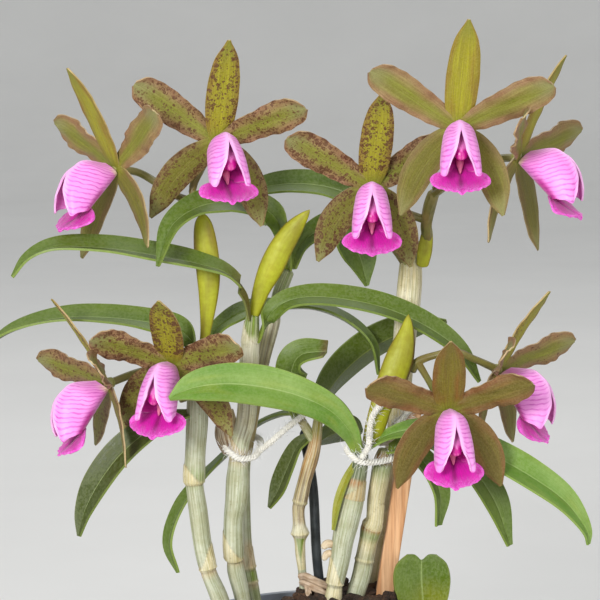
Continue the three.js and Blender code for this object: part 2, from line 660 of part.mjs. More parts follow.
// Twine as a round rope along a line, open or closed into a ring.
function rope(line, closed, grow = 0) {
  const curve = new THREE.CatmullRomCurve3(line.map(point), closed, "centripetal");
  const steps = Math.round(line.length * (closed ? 2.4 : 1.8));
  const section = new THREE.Shape();
  const sides = 6;
  for (let k = 0; k <= sides; k++) {
    const turn = (k / sides) * 2 * Math.PI;
    const x = (TWINE_RADIUS + grow) * Math.cos(turn);
    const y = (TWINE_RADIUS + grow) * Math.sin(turn);
    if (k === 0) section.moveTo(x, y);
    else if (k < sides) section.lineTo(x, y);
    else section.closePath();
  }
  const geometry = new THREE.ExtrudeGeometry(section, { steps, extrudePath: curve });
  const made = solidFromGeometry(geometry);
  return made.volume() > 0 ? made : solidFromGeometry(flipped(geometry));
}

function flipped(geometry) {
  const turned = geometry.clone();
  const p = turned.attributes.position.array;
  for (let i = 0; i < p.length; i += 9)
    for (let k = 0; k < 3; k++) [p[i + k], p[i + 3 + k]] = [p[i + 3 + k], p[i + k]];
  return turned;
}

// Pot: turned wall with a stepped rim and drain holes round the solid middle of its base.
function potSolid() {
  const slope = (POT_TOP_RADIUS - POT_RIM_STEP - POT_BASE_RADIUS) / (POT_HEIGHT - POT_RIM_DEPTH);
  const wallRadius = (z) => POT_BASE_RADIUS + slope * z;
  const profile = [
    [0, 0],
    [POT_BASE_RADIUS - 1, 0],
    [POT_BASE_RADIUS, 1.2],
    [wallRadius(POT_HEIGHT - POT_RIM_DEPTH), POT_HEIGHT - POT_RIM_DEPTH],
    [POT_TOP_RADIUS, POT_HEIGHT - POT_RIM_DEPTH],
    [POT_TOP_RADIUS, POT_HEIGHT - 0.8],
    [POT_TOP_RADIUS - 0.8, POT_HEIGHT],
    [wallRadius(POT_HEIGHT) - POT_WALL + 0.6, POT_HEIGHT],
    [wallRadius(POT_HEIGHT) - POT_WALL, POT_HEIGHT - 1.2],
    [wallRadius(POT_WALL) - POT_WALL, POT_WALL],
    [0, POT_WALL],
  ].map(([x, y]) => new THREE.Vector2(x, y));
  const turned = new THREE.LatheGeometry(profile, POT_SIDES).rotateX(Math.PI / 2);
  let pot = solidFromGeometry(turned);
  for (let k = 0; k < DRAIN_HOLES; k++) {
    const turn = (k / DRAIN_HOLES) * 2 * Math.PI;
    const drill = new THREE.CylinderGeometry(DRAIN_RADIUS, DRAIN_RADIUS, 4 * POT_WALL, 10)
      .rotateX(Math.PI / 2)
      .translate(DRAIN_CIRCLE * Math.cos(turn), DRAIN_CIRCLE * Math.sin(turn), 0);
    pot = pot.subtract(solidFromGeometry(drill));
  }
  return pot;
}

// A repeatable random number from 0 to 1.
function seeded(seed) {
  let state = seed;
  return () => {
    state = (state * 1664525 + 1013904223) % 4294967296;
    return state / 4294967296;
  };
}

// Bark: fills the pot, with a chunky top and a plain hole for everything that stands in it.
function barkSolid(standing) {
  const slope = (POT_TOP_RADIUS - POT_RIM_STEP - POT_BASE_RADIUS) / (POT_HEIGHT - POT_RIM_DEPTH);
  const inner = (z) => POT_BASE_RADIUS + slope * z - POT_WALL - GAP / Math.cos(Math.atan(slope)) - 0.12;
  const random = seeded(7);
  const level = (x, y) => {
    const away = Math.hypot(x - BARK_HEAP_AT[0], y - BARK_HEAP_AT[1]);
    const inside = THREE.MathUtils.smoothstep(BARK_HEAP_REACH - away, 0, BARK_HEAP_REACH - BARK_HEAP_FLAT);
    return BARK_EDGE + BARK_HEAP * inside;
  };
  const corners = [[0, 0, POT_WALL + GAP], [0, 0, level(0, 0)]];
  const levels = [];
  for (let r = 0; r < BARK_RINGS; r++) levels.push((r + 1) / BARK_RINGS);
  levels.forEach((share) => {
    for (let k = 0; k < POT_SIDES; k++) {
      const turn = ((k + (share < 1 ? 0.5 * random() : 0)) / POT_SIDES) * 2 * Math.PI;
      const radius = share * inner(BARK_EDGE);
      const x = radius * Math.cos(turn);
      const y = radius * Math.sin(turn);
      const rough = share < 1 ? (BARK_RELIEF / 2) * (Math.round(2 * random()) - 1) : 0;
      corners.push([x, y, level(x, y) + rough]);
    }
  });
  const foot = corners.length;
  for (let k = 0; k < POT_SIDES; k++) {
    const turn = (k / POT_SIDES) * 2 * Math.PI;
    const radius = inner(POT_WALL + GAP);
    corners.push([radius * Math.cos(turn), radius * Math.sin(turn), POT_WALL + GAP]);
  }
  const triangles = [];
  for (let k = 0; k < POT_SIDES; k++) {
    const next = (k + 1) % POT_SIDES;
    triangles.push([1, 2 + k, 2 + next], [0, foot + next, foot + k]);
    for (let r = 0; r < BARK_RINGS; r++) {
      const a = 2 + r * POT_SIDES;
      triangles.push([a + k, a + POT_SIDES + k, a + POT_SIDES + next]);
      triangles.push([a + k, a + POT_SIDES + next, a + next]);
    }
  }
  const bark = solidFrom(corners, triangles);
  return largestBody(standing.reduce((whole, piece) => whole.subtract(piece), bark));
}

function stakeSolid(grow = 0) {
  const half = (STAKE_WIDTH / 2) * Math.SQRT2;
  return stem(STAKE.map((p) => [...p, half]), { sides: 4, grow });
}

function stickSolid(grow = 0) {
  return stem(STICK.map((p) => [...p, STICK_RADIUS]), { sides: 6, grow });
}

function caneSolid(name, grow = 0) {
  let cane = stem(CANES[name], { grow });
  if (name === "cane_4") cane = cane.add(stem(NECK, { grow, sides: 6 }));
  if (name === "cane_5") {
    for (const tip of ROOT_TIPS) cane = cane.add(stem(tip, { grow, sides: 5, face: [0, 0, 1] }));
  }
  return cane;
}

function spatheSolid(name, grow = 0) {
  return stem(SPATHES[name], { flat: SPATHE_FLAT, grow });
}

function stalkSolid(name, grow = 0) {
  const branch = (line) => {
    const steps = Math.round(1.4 * line.length);
    return stem(line, { sides: 6, face: [0, 0.3, 1], steps, grow });
  };
  return allOf(STALKS[name].map(branch));
}

function tieSolid(name, grow = 0) {
  const { turns, runs } = TIES[name];
  const loops = turns.map((line) => rope(line, true, grow));
  const joins = runs.map((line) => rope(line, false, grow));
  return allOf([...loops, ...joins]);
}

function rootsSolid(grow = 0) {
  return allOf(ROOTS.map((line) => stem(line, { sides: 6, face: [0, 0.2, 1], steps: 5, grow })));
}

// Colours
const finish = (color, roughness) => new THREE.MeshStandardMaterial({ color, roughness, metalness: 0 });
const MATERIALS = {
  pot: finish(0x87909a, 0.45),
  bark: finish(0x35281c, 0.95),
  root: finish(0xb9a58a, 0.85),
  cane: finish(0xb4b08c, 0.7),
  leaf: finish(0x6f9440, 0.5),
  spathe: finish(0xb4b21e, 0.5),
  stalk: finish(0x7d7a3a, 0.6),
  tepal: finish(0x8a7f22, 0.6),
  lip: finish(0xe58ae0, 0.6),
  wood: finish(0xc79a68, 0.8),
  stick: finish(0x2b2f33, 0.6),
  twine: finish(0xe9e7e0, 0.95),
};

// Assembly: every piece is cut clear of the ones that it grows out of or rests against.
const plant = new THREE.Group();

function add(name, solid, material) {
  const mesh = solid.getMesh();
  const geometry = new THREE.BufferGeometry()
    .setAttribute("position", new THREE.BufferAttribute(new Float32Array(mesh.vertProperties), 3))
    .setIndex(new THREE.BufferAttribute(new Uint32Array(mesh.triVerts), 1));
  geometry.computeVertexNormals();
  const piece = new THREE.Mesh(geometry, material);
  piece.name = name;
  plant.add(piece);
}

const clearOf = (solid, ...others) =>
  largestBody(others.reduce((whole, other) => whole.subtract(other), solid)).simplify(CLEAN);

const caneNames = Object.keys(CANES);
const grownCanes = Object.fromEntries(caneNames.map((name) => [name, caneSolid(name, GAP)]));
const grownStake = stakeSolid(GAP);
const grownStick = stickSolid(GAP);
const grownLeaves = Object.fromEntries(Object.keys(LEAVES).map((name) => [name, leaf(LEAVES[name], GAP)]));
const grownSpathes = Object.fromEntries(Object.keys(SPATHES).map((name) => [name, spatheSolid(name, GAP)]));

add("pot", potSolid(), MATERIALS.pot);
const standing = [...Object.values(grownCanes), grownStake, grownStick, grownLeaves.leaf_17];
add("bark", barkSolid([...standing, rootsSolid(GAP)]), MATERIALS.bark);
add("roots", clearOf(rootsSolid(), ...Object.values(grownCanes)), MATERIALS.root);
for (const name of caneNames) add(name, caneSolid(name), MATERIALS.cane);
add("stake", stakeSolid(), MATERIALS.wood);
add("support_stick", stickSolid(), MATERIALS.stick);

// What each sheath and leaf grows out of, nearest first
const SPATHE_SEATS = { spathe_1: "cane_1", spathe_2: "cane_2", spathe_3: "cane_7", spathe_4: "cane_5" };
const LEAF_SEATS = {
  leaf_1: ["cane_2", "spathe_2"],
  leaf_2: ["cane_1", "spathe_1"],
  leaf_3: ["cane_2", "leaf_1"],
  leaf_4: ["cane_1", "spathe_1", "leaf_2"],
  leaf_5: ["cane_3"],
  leaf_6: ["cane_3", "leaf_5"],
  leaf_7: ["cane_7"],
  leaf_8: ["cane_5", "spathe_4"],
  leaf_9: ["cane_4"],
  leaf_10: ["cane_4"],
  leaf_11: ["cane_4"],
  leaf_12: ["cane_4", "leaf_9"],
  leaf_13: ["cane_5", "spathe_4", "leaf_8"],
  leaf_14: ["cane_4", "leaf_10"],
  leaf_15: ["cane_6"],
  leaf_16: ["cane_6", "leaf_15"],
  leaf_17: [],
  leaf_18: ["cane_5"],
  leaf_19: ["cane_1"],
};
const grown = { ...grownCanes, ...grownSpathes, ...grownLeaves };
for (const name of Object.keys(SPATHES)) {
  add(name, clearOf(spatheSolid(name), grown[SPATHE_SEATS[name]]), MATERIALS.spathe);
}
for (const name of Object.keys(LEAVES)) {
  const seats = LEAF_SEATS[name].map((seat) => grown[seat]);
  add(name, clearOf(leaf(LEAVES[name]), ...seats), MATERIALS.leaf);
}

// What each flower stalk grows out of, and the blooms at its ends
const STALK_SEATS = {
  stalk_1: ["spathe_1"],
  stalk_2: ["cane_7", "spathe_3"],
  stalk_3: ["cane_1", "leaf_19"],
  stalk_4: ["spathe_4"],
};
const STALK_BLOOMS = { stalk_1: [0, 1], stalk_2: [2, 3, 4], stalk_3: [5, 6], stalk_4: [7, 8] };
for (const name of Object.keys(STALKS)) {
  const blooms = STALK_BLOOMS[name].map((k) => bloomSolid(BLOOMS[k], GAP));
  const seats = STALK_SEATS[name].map((seat) => grown[seat]);
  add(name, clearOf(stalkSolid(name), ...seats, ...blooms), MATERIALS.stalk);
}
BLOOMS.forEach((bloom, k) => {
  add("bloom_" + (k + 1), bloomSolid(bloom).simplify(CLEAN), MATERIALS.tepal);
  add("lip_" + (k + 1), clearOf(lipSolid(bloom), bloomSolid(bloom, GAP)), MATERIALS.lip);
});
const TIE_SEATS = {
  tie_1: ["cane_2", "cane_3", "cane_4", "leaf_10", "leaf_9"],
  tie_2: ["cane_5", "cane_6", "cane_7", "spathe_4", "leaf_8", "leaf_13"],
};
for (const name of Object.keys(TIES)) {
  const seats = TIE_SEATS[name].map((seat) => grown[seat]);
  add(name, clearOf(tieSolid(name), ...seats, grownStake, grownStick), MATERIALS.twine);
}

export default plant;
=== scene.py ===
import math
import random
from functools import cached_property

import bpy
from mathutils import Matrix, Vector, noise


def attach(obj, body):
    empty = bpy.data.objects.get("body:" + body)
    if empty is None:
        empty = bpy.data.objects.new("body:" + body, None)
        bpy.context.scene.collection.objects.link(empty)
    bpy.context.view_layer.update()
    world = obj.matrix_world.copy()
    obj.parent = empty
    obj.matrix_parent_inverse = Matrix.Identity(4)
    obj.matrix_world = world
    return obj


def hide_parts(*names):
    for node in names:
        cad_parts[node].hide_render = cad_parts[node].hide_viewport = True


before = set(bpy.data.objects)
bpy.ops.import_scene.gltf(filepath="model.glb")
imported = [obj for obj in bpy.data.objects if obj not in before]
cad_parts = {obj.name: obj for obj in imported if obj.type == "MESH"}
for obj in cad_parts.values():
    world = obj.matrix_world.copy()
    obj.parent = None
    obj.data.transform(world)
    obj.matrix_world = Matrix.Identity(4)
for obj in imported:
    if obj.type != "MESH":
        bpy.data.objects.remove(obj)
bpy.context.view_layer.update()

# The plant is drawn in millimetres, as its solids are, and brought to metres with this.
MM = 0.001

# Camera: 1 m in front of the plant, a little above it
bpy.ops.object.camera_add(location=(-0.012, -0.99255, 0.33887), rotation=(math.radians(83), 0, 0))
camera = bpy.context.object
camera.name = "camera"
camera.data.lens = 150
camera.data.sensor_width = 36
bpy.context.scene.camera = camera
bpy.context.scene.view_settings.view_transform = "Standard"

# Sizes and lines of the plant
POT_HEIGHT = 85
POT_TOP_RADIUS = 57.5
POT_BASE_RADIUS = 41
POT_WALL = 2.4
POT_RIM_DEPTH = 9
POT_RIM_STEP = 2.2
DRAIN_HOLES = 5
DRAIN_RADIUS = 4
DRAIN_CIRCLE = 25
BARK_EDGE = 78
BARK_HEAP = 18
BARK_HEAP_AT = (7, 2)
BARK_HEAP_FLAT = 18
BARK_HEAP_REACH = 34

SEPAL_HALF = 6.4
PETAL_HALF = 6.3
PETAL_WAVE = 0.9
SICKLE = 3.4

# Canes: [x, y, z, radius] from below the bark to the crown
CANES = {
    "cane_1": [
        [-37.6, -7, 70, 3.3], [-44.2, -7, 96, 3.6], [-48.6, -7, 107, 3.2], [-49.5, -7, 111, 3.6],
        [-51.1, -7, 118.5, 3.7], [-52.9, -7, 133, 3.8], [-54.3, -7, 143.5, 3.7], [-54.3, -7, 145.5, 4.3],
        [-54, -6, 155, 4.1], [-53.2, -5, 169, 4.4], [-53, -5, 178, 4.1], [-51.5, -4, 193, 3.2],
    ],
    "cane_2": [
        [-32.8, 5, 70, 3.2], [-35.3, 5, 93, 3.2], [-38.1, 5, 105.6, 3.6], [-38.6, 5, 110, 3.2],
        [-38.8, 4, 112, 4], [-38.9, 4, 126.5, 4.1], [-37.7, 3, 135, 4.6], [-37.2, 3, 143, 4.7],
        [-36.8, 2, 152, 3.9], [-36.2, 2, 159, 3.9], [-33.8, 2, 168, 4], [-32.3, 2, 194.5, 3.9],
        [-31.6, 2, 204, 3.3], [-31, 2, 211, 2.6],
    ],
    "cane_3": [
        [-27.2, 16, 70, 2.2], [-30.2, 16, 90, 2.2], [-31.8, 16, 99, 2.4], [-33.2, 16, 107, 2.4],
        [-33.8, 16, 115, 2], [-34.2, 15, 132, 1.8], [-34, 14, 148, 1.8], [-32, 14, 160, 1.9],
        [-30.1, 14, 172, 2.1], [-27, 13.5, 190, 2.6], [-23, 13, 208, 3.2], [-22.4, 13, 211, 2.4],
        [-20.1, 13, 219, 2.8], [-16.5, 13, 228, 2.5],
    ],
    "cane_4": [
        [-9.6, 4, 78, 1.6], [-10.4, 4, 93, 1.6], [-11, 4, 104, 1.6], [-11.8, 4, 112, 2],
        [-12, 4, 118, 2.3], [-12, 4, 121, 3.6], [-12.3, 4, 124.5, 2.7], [-12.6, 4, 131, 2.5],
        [-11.8, 4, 135, 3], [-10, 4, 143, 2.8], [-7.7, 4, 151, 3], [-6.3, 4, 156, 2.7],
        [-5.2, 4, 163, 2.2], [-4.6, 4, 169, 1.8],
    ],
    "cane_5": [
        [-0.5, -8, 78, 3.4], [1.3, -8, 96, 3.6], [2, -8, 102, 3.1], [2.3, -8, 104, 3.5],
        [4.1, -8, 112.7, 4], [5.3, -8, 121, 4.4], [7, -8, 129, 4.9], [8.8, -8, 137, 4.8],
        [10.6, -8, 145.4, 3.9], [11.8, -8, 151, 3.4], [12.6, -8, 157, 2.8],
    ],
    "cane_6": [
        [6.8, 0, 78, 3.4], [9.9, 0, 94, 3.6], [12.9, 0, 104.7, 3.8], [14.1, 0, 111, 3.8],
        [15.7, 0, 119, 3.8], [17, 0, 124.5, 4.3], [17.9, -1, 127, 3.5], [18.7, -1, 136, 3.6],
        [20, -2, 144, 3.8], [21.4, -2, 152, 3.8], [22.8, -2, 157, 2.9],
    ],
    "cane_7": [
        [15.5, 18, 78, 3.6], [17.7, 18, 90, 3.7], [20.5, 18, 107, 3.8], [22.4, 18, 120, 4.3],
        [24.1, 18, 132, 3.8], [27.3, 18, 157, 4], [28.8, 17, 174, 4.3], [30.3, 15.5, 196, 4.6],
        [31.6, 14, 211, 5], [32.6, 14, 224, 4.9], [33, 14, 233, 4.2], [33.6, 13, 240, 3],
    ],
}
NECK = [[-6, 4, 158, 2], [-9.6, 4, 164.5, 1.9], [-13, 4, 170, 1.6]]
ROOT_TIPS = [
    [[1.5, -8, 119, 1.6], [-1.2, -9, 119.5, 1.7], [-3.2, -9.6, 117.6, 1.2]],
    [[1.2, -8, 116, 1.4], [-1.4, -8.5, 115, 1.5], [-2.6, -9, 112.6, 1]],
]
STAKE_WIDTH = 7
STAKE = [[19, 6, 72], [33.6, 6, 171]]
STICK_RADIUS = 2
STICK = [[-1, 14, 74], [-5, 13, 108], [-6.9, 12.4, 140], [-11, 11.6, 163]]

# Leaves: centre line from base to tip as [x, y, z, half width], and where the upper face looks
LEAVES = {
    "leaf_1": dict(line=[
        [-32, 0, 210, 2.2], [-34, -7, 221, 3.4], [-41, -12, 229, 5.2], [-52, -15, 233, 6.6],
        [-71, -18, 237, 7.4], [-90, -21, 240, 7.4], [-109, -23, 240, 6.2], [-118, -24, 236, 4],
        [-124, -25, 229, 0.8],
    ], face=[[-0.6, -0.5, 0.7], [-0.3, -0.25, 0.95]]),
    "leaf_2": dict(line=[
        [-52.5, -4.5, 194, 2.4], [-55, -4, 201, 4], [-61, -2, 205.5, 5.4], [-72, 2, 207.5, 6.6],
        [-88, 5, 209, 7.2], [-109, 8, 208.5, 7], [-128, 10, 203.5, 5.2], [-142, 12, 195, 0.8],
    ], face=[[-0.9, -0.2, 0.4], [-0.2, -0.2, 0.95]]),
    "leaf_3": dict(line=[
        [-29, 2, 200, 2], [-25, 0, 210, 3.4], [-18, 0, 216, 4.8], [-8, 1, 218, 5.8],
        [8, 3, 216.5, 6.4], [24, 4, 212.5, 6.6], [40, 4, 205, 6.2], [53, 5, 195, 4.2], [60.5, 6, 183, 0.8],
    ], face=[[0.6, -0.2, 0.75], [0.5, -0.7, 0.5]]),
    "leaf_4": dict(line=[
        [-51, -3, 195, 2], [-47, 3, 203, 3], [-41, 9, 207.5, 4.2], [-33, 16.5, 210.5, 5.2],
        [-22, 23.5, 210.5, 6], [-6, 24, 210.5, 6.2], [8, 22, 205, 5.4], [17, 20, 196.5, 3.8],
        [20, 18, 184, 0.8],
    ], face=[[0.3, 0.2, 0.9], [0.85, -0.3, 0.45]]),
    "leaf_5": dict(line=[
        [-16.5, 12, 228, 2], [-18, 8, 240, 3.6], [-22, 3, 250, 5], [-31, -3.5, 255.5, 6.2],
        [-42, -9.5, 257, 6.6], [-53, -15.5, 255, 6.4], [-62, -23, 248.5, 4.8], [-67, -31, 234, 0.8],
    ], face=[[-0.5, -0.6, 0.5], [-0.5, -0.8, 0.35]]),
    "leaf_6": dict(line=[
        [-15, 14, 228, 2], [-12, 18, 236.5, 3.6], [-5, 21, 242.5, 5.4], [4, 25, 243, 7.6],
        [11.5, 27, 233.5, 8], [15.5, 27, 219.5, 0.8],
    ], face=[[-0.3, -0.5, 0.75], [0.45, -0.85, 0.25]]),
    "leaf_7": dict(line=[
        [30.5, 11, 230, 2], [24, 12, 242, 3.8], [16, 15, 253, 5.2], [2, 18, 260, 6.2],
        [-14, 20, 262, 6.4], [-27, 20.5, 260.5, 5], [-38, 20.5, 257.5, 0.8],
    ], face=[[-0.75, -0.1, 0.5], [-0.1, -0.7, 0.7]]),
    "leaf_8": dict(line=[
        [11.2, -10, 157, 2.2], [8, -16.5, 166, 3.8], [1, -22, 175, 5.6], [-11, -27, 182, 7],
        [-26, -31, 186.5, 8.2], [-41, -35, 188.5, 7.8], [-54, -38, 187.2, 5.6], [-62.5, -39.5, 183.5, 0.8],
    ], face=[[-0.35, -0.85, 0.4], [-0.1, -0.88, 0.45]]),
    "leaf_9": dict(line=[
        [-4.2, 5, 168, 2], [-2.4, 14, 175, 6.4], [5, 24, 184, 8.4], [19, 31, 194.5, 8.4],
        [35, 32, 201.5, 6.4], [48.5, 30, 204.5, 0.8],
    ], face=[[-0.6, 0.7, 0.3], [-0.35, 0.85, 0.4]]),
    "leaf_10": dict(line=[
        [-13, 4.5, 170, 1.8], [-20, 16, 167.5, 2.8], [-30, 24.5, 161.5, 3.6], [-40, 21, 152, 4.2],
        [-50, 9, 144, 4.6], [-60, 4.5, 132, 4.6], [-65, 3, 117, 3.8], [-61.5, 3, 105, 0.8],
    ], face=[[-0.3, 0.2, 0.9], [-0.8, -0.5, 0.3]]),
    "leaf_11": dict(line=[
        [-7.5, 5, 161, 1.8], [-12.5, 6.5, 157, 3.2], [-17, 9.5, 147, 4.8], [-21, 11, 137, 4],
        [-24.5, 11.5, 130, 0.8],
    ], face=[[-0.6, -0.6, 0.3], [-0.7, -0.65, 0.25]]),
    "leaf_12": dict(line=[
        [-5, 5, 158.5, 2], [-1, 11, 160, 4.8], [5, 18, 161, 6.4], [10.5, 24, 160, 5],
        [13.5, 27.5, 158.5, 1.2],
    ], face=[[-0.4, 0.8, 0.4], [-0.5, 0.85, 0.2]]),
    "leaf_13": dict(line=[
        [13.5, -8.5, 157.5, 2.2], [22.5, -12.5, 164, 3], [32, -16, 167, 4.6], [47, -17, 165, 6.4],
        [63, -19, 158, 7.2], [79, -21.5, 149.4, 7.2], [93, -21, 139, 5.8], [101.5, -20, 127, 2.6],
        [102.5, -18.5, 121.5, 0.8],
    ], face=[[-0.3, -0.5, 0.8], [0.6, -0.7, 0.4]]),
    "leaf_14": dict(line=[
        [-13.2, 4, 168, 1.8], [-14.6, -1, 179, 4.6], [-15.4, -5, 189.5, 6.4], [-11.5, -9.5, 196, 6.6],
        [-1.5, -13, 198, 5.4],
    ], face=[[0.1, -0.9, -0.3], [0.1, -0.5, 0.85]]),
    "leaf_15": dict(line=[
        [23.5, -4.5, 156.5, 2], [30.5, -9, 158.5, 4], [38, -11.5, 152.5, 5.4], [43.5, -12, 141.5, 5],
        [43, -11, 127.5, 2],
    ], face=[[0.2, -0.6, 0.75], [0.75, -0.6, 0.2]]),
    "leaf_16": dict(line=[
        [24, -1, 157, 2], [33, -3.5, 161.5, 3.6], [45, -6, 159, 5.4], [56, -8, 151, 6.4],
        [66, -9.5, 136.5, 6], [72, -9.5, 119, 1.4],
    ], face=[[-0.1, -0.4, 0.9], [0.55, -0.8, 0.3]]),
    "leaf_17": dict(line=[
        [39, 2, 76, 1.8], [38.8, -1, 86, 5], [37.8, -3, 95, 9.6], [37, -4.5, 105, 11.4],
        [37, -5, 111, 10], [37, -5, 114.6, 5.8],
    ], face=[[0, -0.95, 0.3], [0, -0.97, 0.2]], notch=2.6),
    "leaf_18": dict(line=[
        [10.4, -8.5, 153, 1.2], [6, -11.5, 145.5, 1.6], [3, -12.5, 137, 1.6], [1.2, -12.5, 126, 0.6],
    ], face=[[-0.5, -0.8, 0.2], [-0.5, -0.85, 0]]),
    "leaf_19": dict(line=[
        [-56, -6, 172, 2], [-64, -9.5, 170, 4.4], [-73, -13, 165.5, 6.4], [-84, -14.5, 156, 7.2],
        [-93, -15, 143.5, 6.6], [-98, -14.5, 133, 4.2], [-100, -15, 124, 0.8],
    ], face=[[-0.3, -0.6, 0.7], [-0.6, -0.75, 0.3]]),
}
LEAF_FOLD = 0.3

# Flat sheaths, and the stalks that come out of them
SPATHES = {
    "spathe_1": [
        [-51, -5, 195.5, 1.6], [-49.6, -5.6, 205, 2], [-48.4, -6, 219, 3.6], [-48.4, -6, 228, 4.4],
        [-49.5, -6, 240, 4.4], [-50.4, -6, 249, 3], [-50.6, -6, 252.5, 0.8],
    ],
    "spathe_2": [
        [-30.8, 1.6, 208.5, 1.8], [-27.8, 0.4, 220, 3.2], [-23.5, -0.5, 230, 4.6], [-19, -1, 239, 4.4],
        [-14, -1.5, 246.5, 3.4], [-8, -2, 253.5, 0.6],
    ],
    "spathe_3": [[37.2, 9.5, 229, 2.2], [38.2, 8, 236, 2.8], [39, 7, 243, 2.2], [39.2, 6.6, 250.5, 0.6]],
    "spathe_4": [
        [15.4, -9.5, 158.5, 2.6], [17.6, -10.5, 166, 3.8], [20.4, -11, 176, 4.2], [24.4, -10.4, 186, 5.4],
        [28, -9, 196, 5.2], [30.4, -7, 205, 3], [31.2, -5.5, 212, 0.6],
    ],
}
SPATHE_FLAT = 0.5
STALKS = {
    "stalk_1": [
        [
            [-51, -5.8, 254, 1.6], [-53.4, -4.4, 256.5, 1.6], [-54.5, -3.4, 262, 1.5],
            [-51.5, -3.4, 269, 1.5], [-47, -6, 276.5, 1.5], [-44, -14, 281, 1.6],
        ],
        [
            [-53.8, -4.2, 257, 1.5], [-60, -2.4, 258.5, 1.5], [-69, 0, 264, 1.5], [-76, -0.4, 268, 1.5],
            [-85, -8, 270, 1.6],
        ],
    ],
    "stalk_2": [
        [[39.5, 8.4, 240, 2], [38.6, 5.6, 246, 2.3], [39.6, 2, 254, 2.4], [41.4, -1.4, 261, 2.2]],
        [
            [40.8, -0.4, 259, 1.6], [44, -6, 262, 1.5], [47.6, -12, 266, 1.5], [49.4, -17.5, 276, 1.5],
            [49, -26, 287, 1.6],
        ],
        [
            [41.2, -0.8, 260.5, 1.8], [46, -3.6, 266.5, 1.5], [54, -6.4, 271.5, 1.5], [63, -9.6, 274, 1.5],
            [74, -14, 275, 1.6],
        ],
        [[38.8, 4.6, 248.5, 1.6], [30, 3.4, 252, 1.5], [22, 1.4, 258, 1.5], [16, -8, 263, 1.6]],
    ],
    "stalk_3": [
        [
            [-57.6, -3.6, 176.5, 2.6], [-60, -2.4, 181, 2], [-63, -1.4, 186, 1.6], [-64.4, -6, 190.5, 1.5],
            [-63, -16, 193, 1.6],
        ],
        [[-62.6, -1.4, 185.5, 1.6], [-67, 1.6, 188.6, 1.5], [-75, 1.6, 188, 1.5], [-89, -6, 184, 1.6]],
    ],
    "stalk_4": [
        [
            [32.4, -5.6, 188.5, 1.6], [34.6, -5.4, 192.4, 1.8], [42, -8.4, 196, 1.4], [50, -9.4, 197.4, 1.4],
            [58, -7.6, 194, 1.4], [68, -4, 189, 1.6],
        ],
        [[35, -5.6, 192.6, 1.5], [38.6, -12, 187, 1.3], [42.4, -19, 180.5, 1.4], [46, -30, 177, 1.6]],
    ],
}

# Blooms: meeting point, turn to the right and nod in degrees, slope of the lip, tips as
# [right, back, up], how strongly the bloom is spotted, and how rusty its sepals are
BLOOMS = [
    dict(at=[-85, -8, 270], turn=-55, nod=14, lip_slope=44, dorsal=[-17, -13, 40],
         petals=[[-26, 26, 17], [18, -32, 24]], laterals=[[-15, 17, -37], [14, -19, -29]],
         spots=0.12, rust=0.55),
    dict(at=[-44, -14, 281], turn=14, nod=14, lip_slope=41, dorsal=[5, -18, 40],
         petals=[[-32, -8, 23], [34, -14, 14]], laterals=[[-27, 4, -30], [17, 0, -33]],
         spots=0.85, rust=0.45),
    dict(at=[16, -8, 263], turn=0, nod=14, lip_slope=48, dorsal=[4, -20, 38],
         petals=[[-33, -12, 20], [29, -2, 18]], laterals=[[-21, 4, -30], [16, 1, -32]],
         spots=1.0, rust=0.3),
    dict(at=[49, -26, 287], turn=0, nod=12, lip_slope=44, dorsal=[3, -14, 42],
         petals=[[-34, -9, 22.5], [35, -17, 17.4]], laterals=[[-22, 4, -34], [17, -10, -33]],
         spots=0.0, rust=0.5),
    dict(at=[74, -14, 275], turn=67, nod=14, lip_slope=44, dorsal=[17, -7, 40],
         petals=[[-1.5, -37, 18], [27, 27, 9]], laterals=[[-13, -14, -32], [10, 25, -39]],
         spots=0.0, rust=0.25),
    dict(at=[-89, -6, 184], turn=-72, nod=16, lip_slope=56, dorsal=[-21, -8, 35],
         petals=[[-30, 25, 6], [-3, -36, 14]], laterals=[[-7, 24, -29], [9, -25, -29]],
         spots=0.8, rust=0.5),
    dict(at=[-63, -16, 193], turn=-16, nod=18, lip_slope=49, dorsal=[-3, -28, 29],
         petals=[[-30.5, -12, 12], [27.5, -22, 11]], laterals=[[-20, 9, -27], [24, -2, -28]],
         spots=1.0, rust=0.4),
    dict(at=[46, -30, 177], turn=5, nod=20, lip_slope=53, dorsal=[-1, -26, 31],
         petals=[[-32, -15, 12], [31.5, -13, 13]], laterals=[[-20, 2, -31], [21, 2, -30]],
         spots=0.0, rust=0.95),
    dict(at=[68, -4, 189], turn=63, nod=16, lip_slope=55, dorsal=[18.5, -10, 33],
         petals=[[1, -36, 14], [32, 22, 9]], laterals=[[-9, -18, -26], [7, 18, -32]],
         spots=0.45, rust=0.5),
]
SEPAL_SHAPE = [[0, 0.5], [0.2, 0.9], [0.5, 1], [0.8, 0.74], [1, 0.08]]
PETAL_SHAPE = [[0, 0.32], [0.22, 0.74], [0.48, 1], [0.74, 1.04], [0.93, 0.82], [1, 0.22]]

# Lip: side lobes as [along, height of the margin, half width, margin from the middle], how far along
# they reach at a share of the way round, and the front lobe as [share along, height, half width]
SIDE_LOBES = [
    [1.6, 3.8, 2.8, 0], [7.4, 11.4, 5.6, -0.3], [12, 13.1, 6.5, -0.3], [16, 13.5, 7, 0],
    [20, 12.4, 7.4, 0.6], [24, 10, 7.5, 1.5], [29, 4.4, 7.1, 2.6],
]
LOBE_ENDS = [[0, 21], [0.3, 22.5], [0.5, 25.3], [0.7, 27.9], [0.84, 28.7], [0.94, 28.1], [1, 26.4]]
LOBE_START = 1.6
LOBE_FLOOR = -1.5
FRONT_LOBE = [[0, -1.3, 3], [0.22, -1.2, 8.8], [0.5, -0.5, 11.4], [0.75, 0.4, 11.2], [1, 1.5, 8.8]]
FRONT_LOBE_START = 19.5
FRONT_LOBE_LENGTH = 14

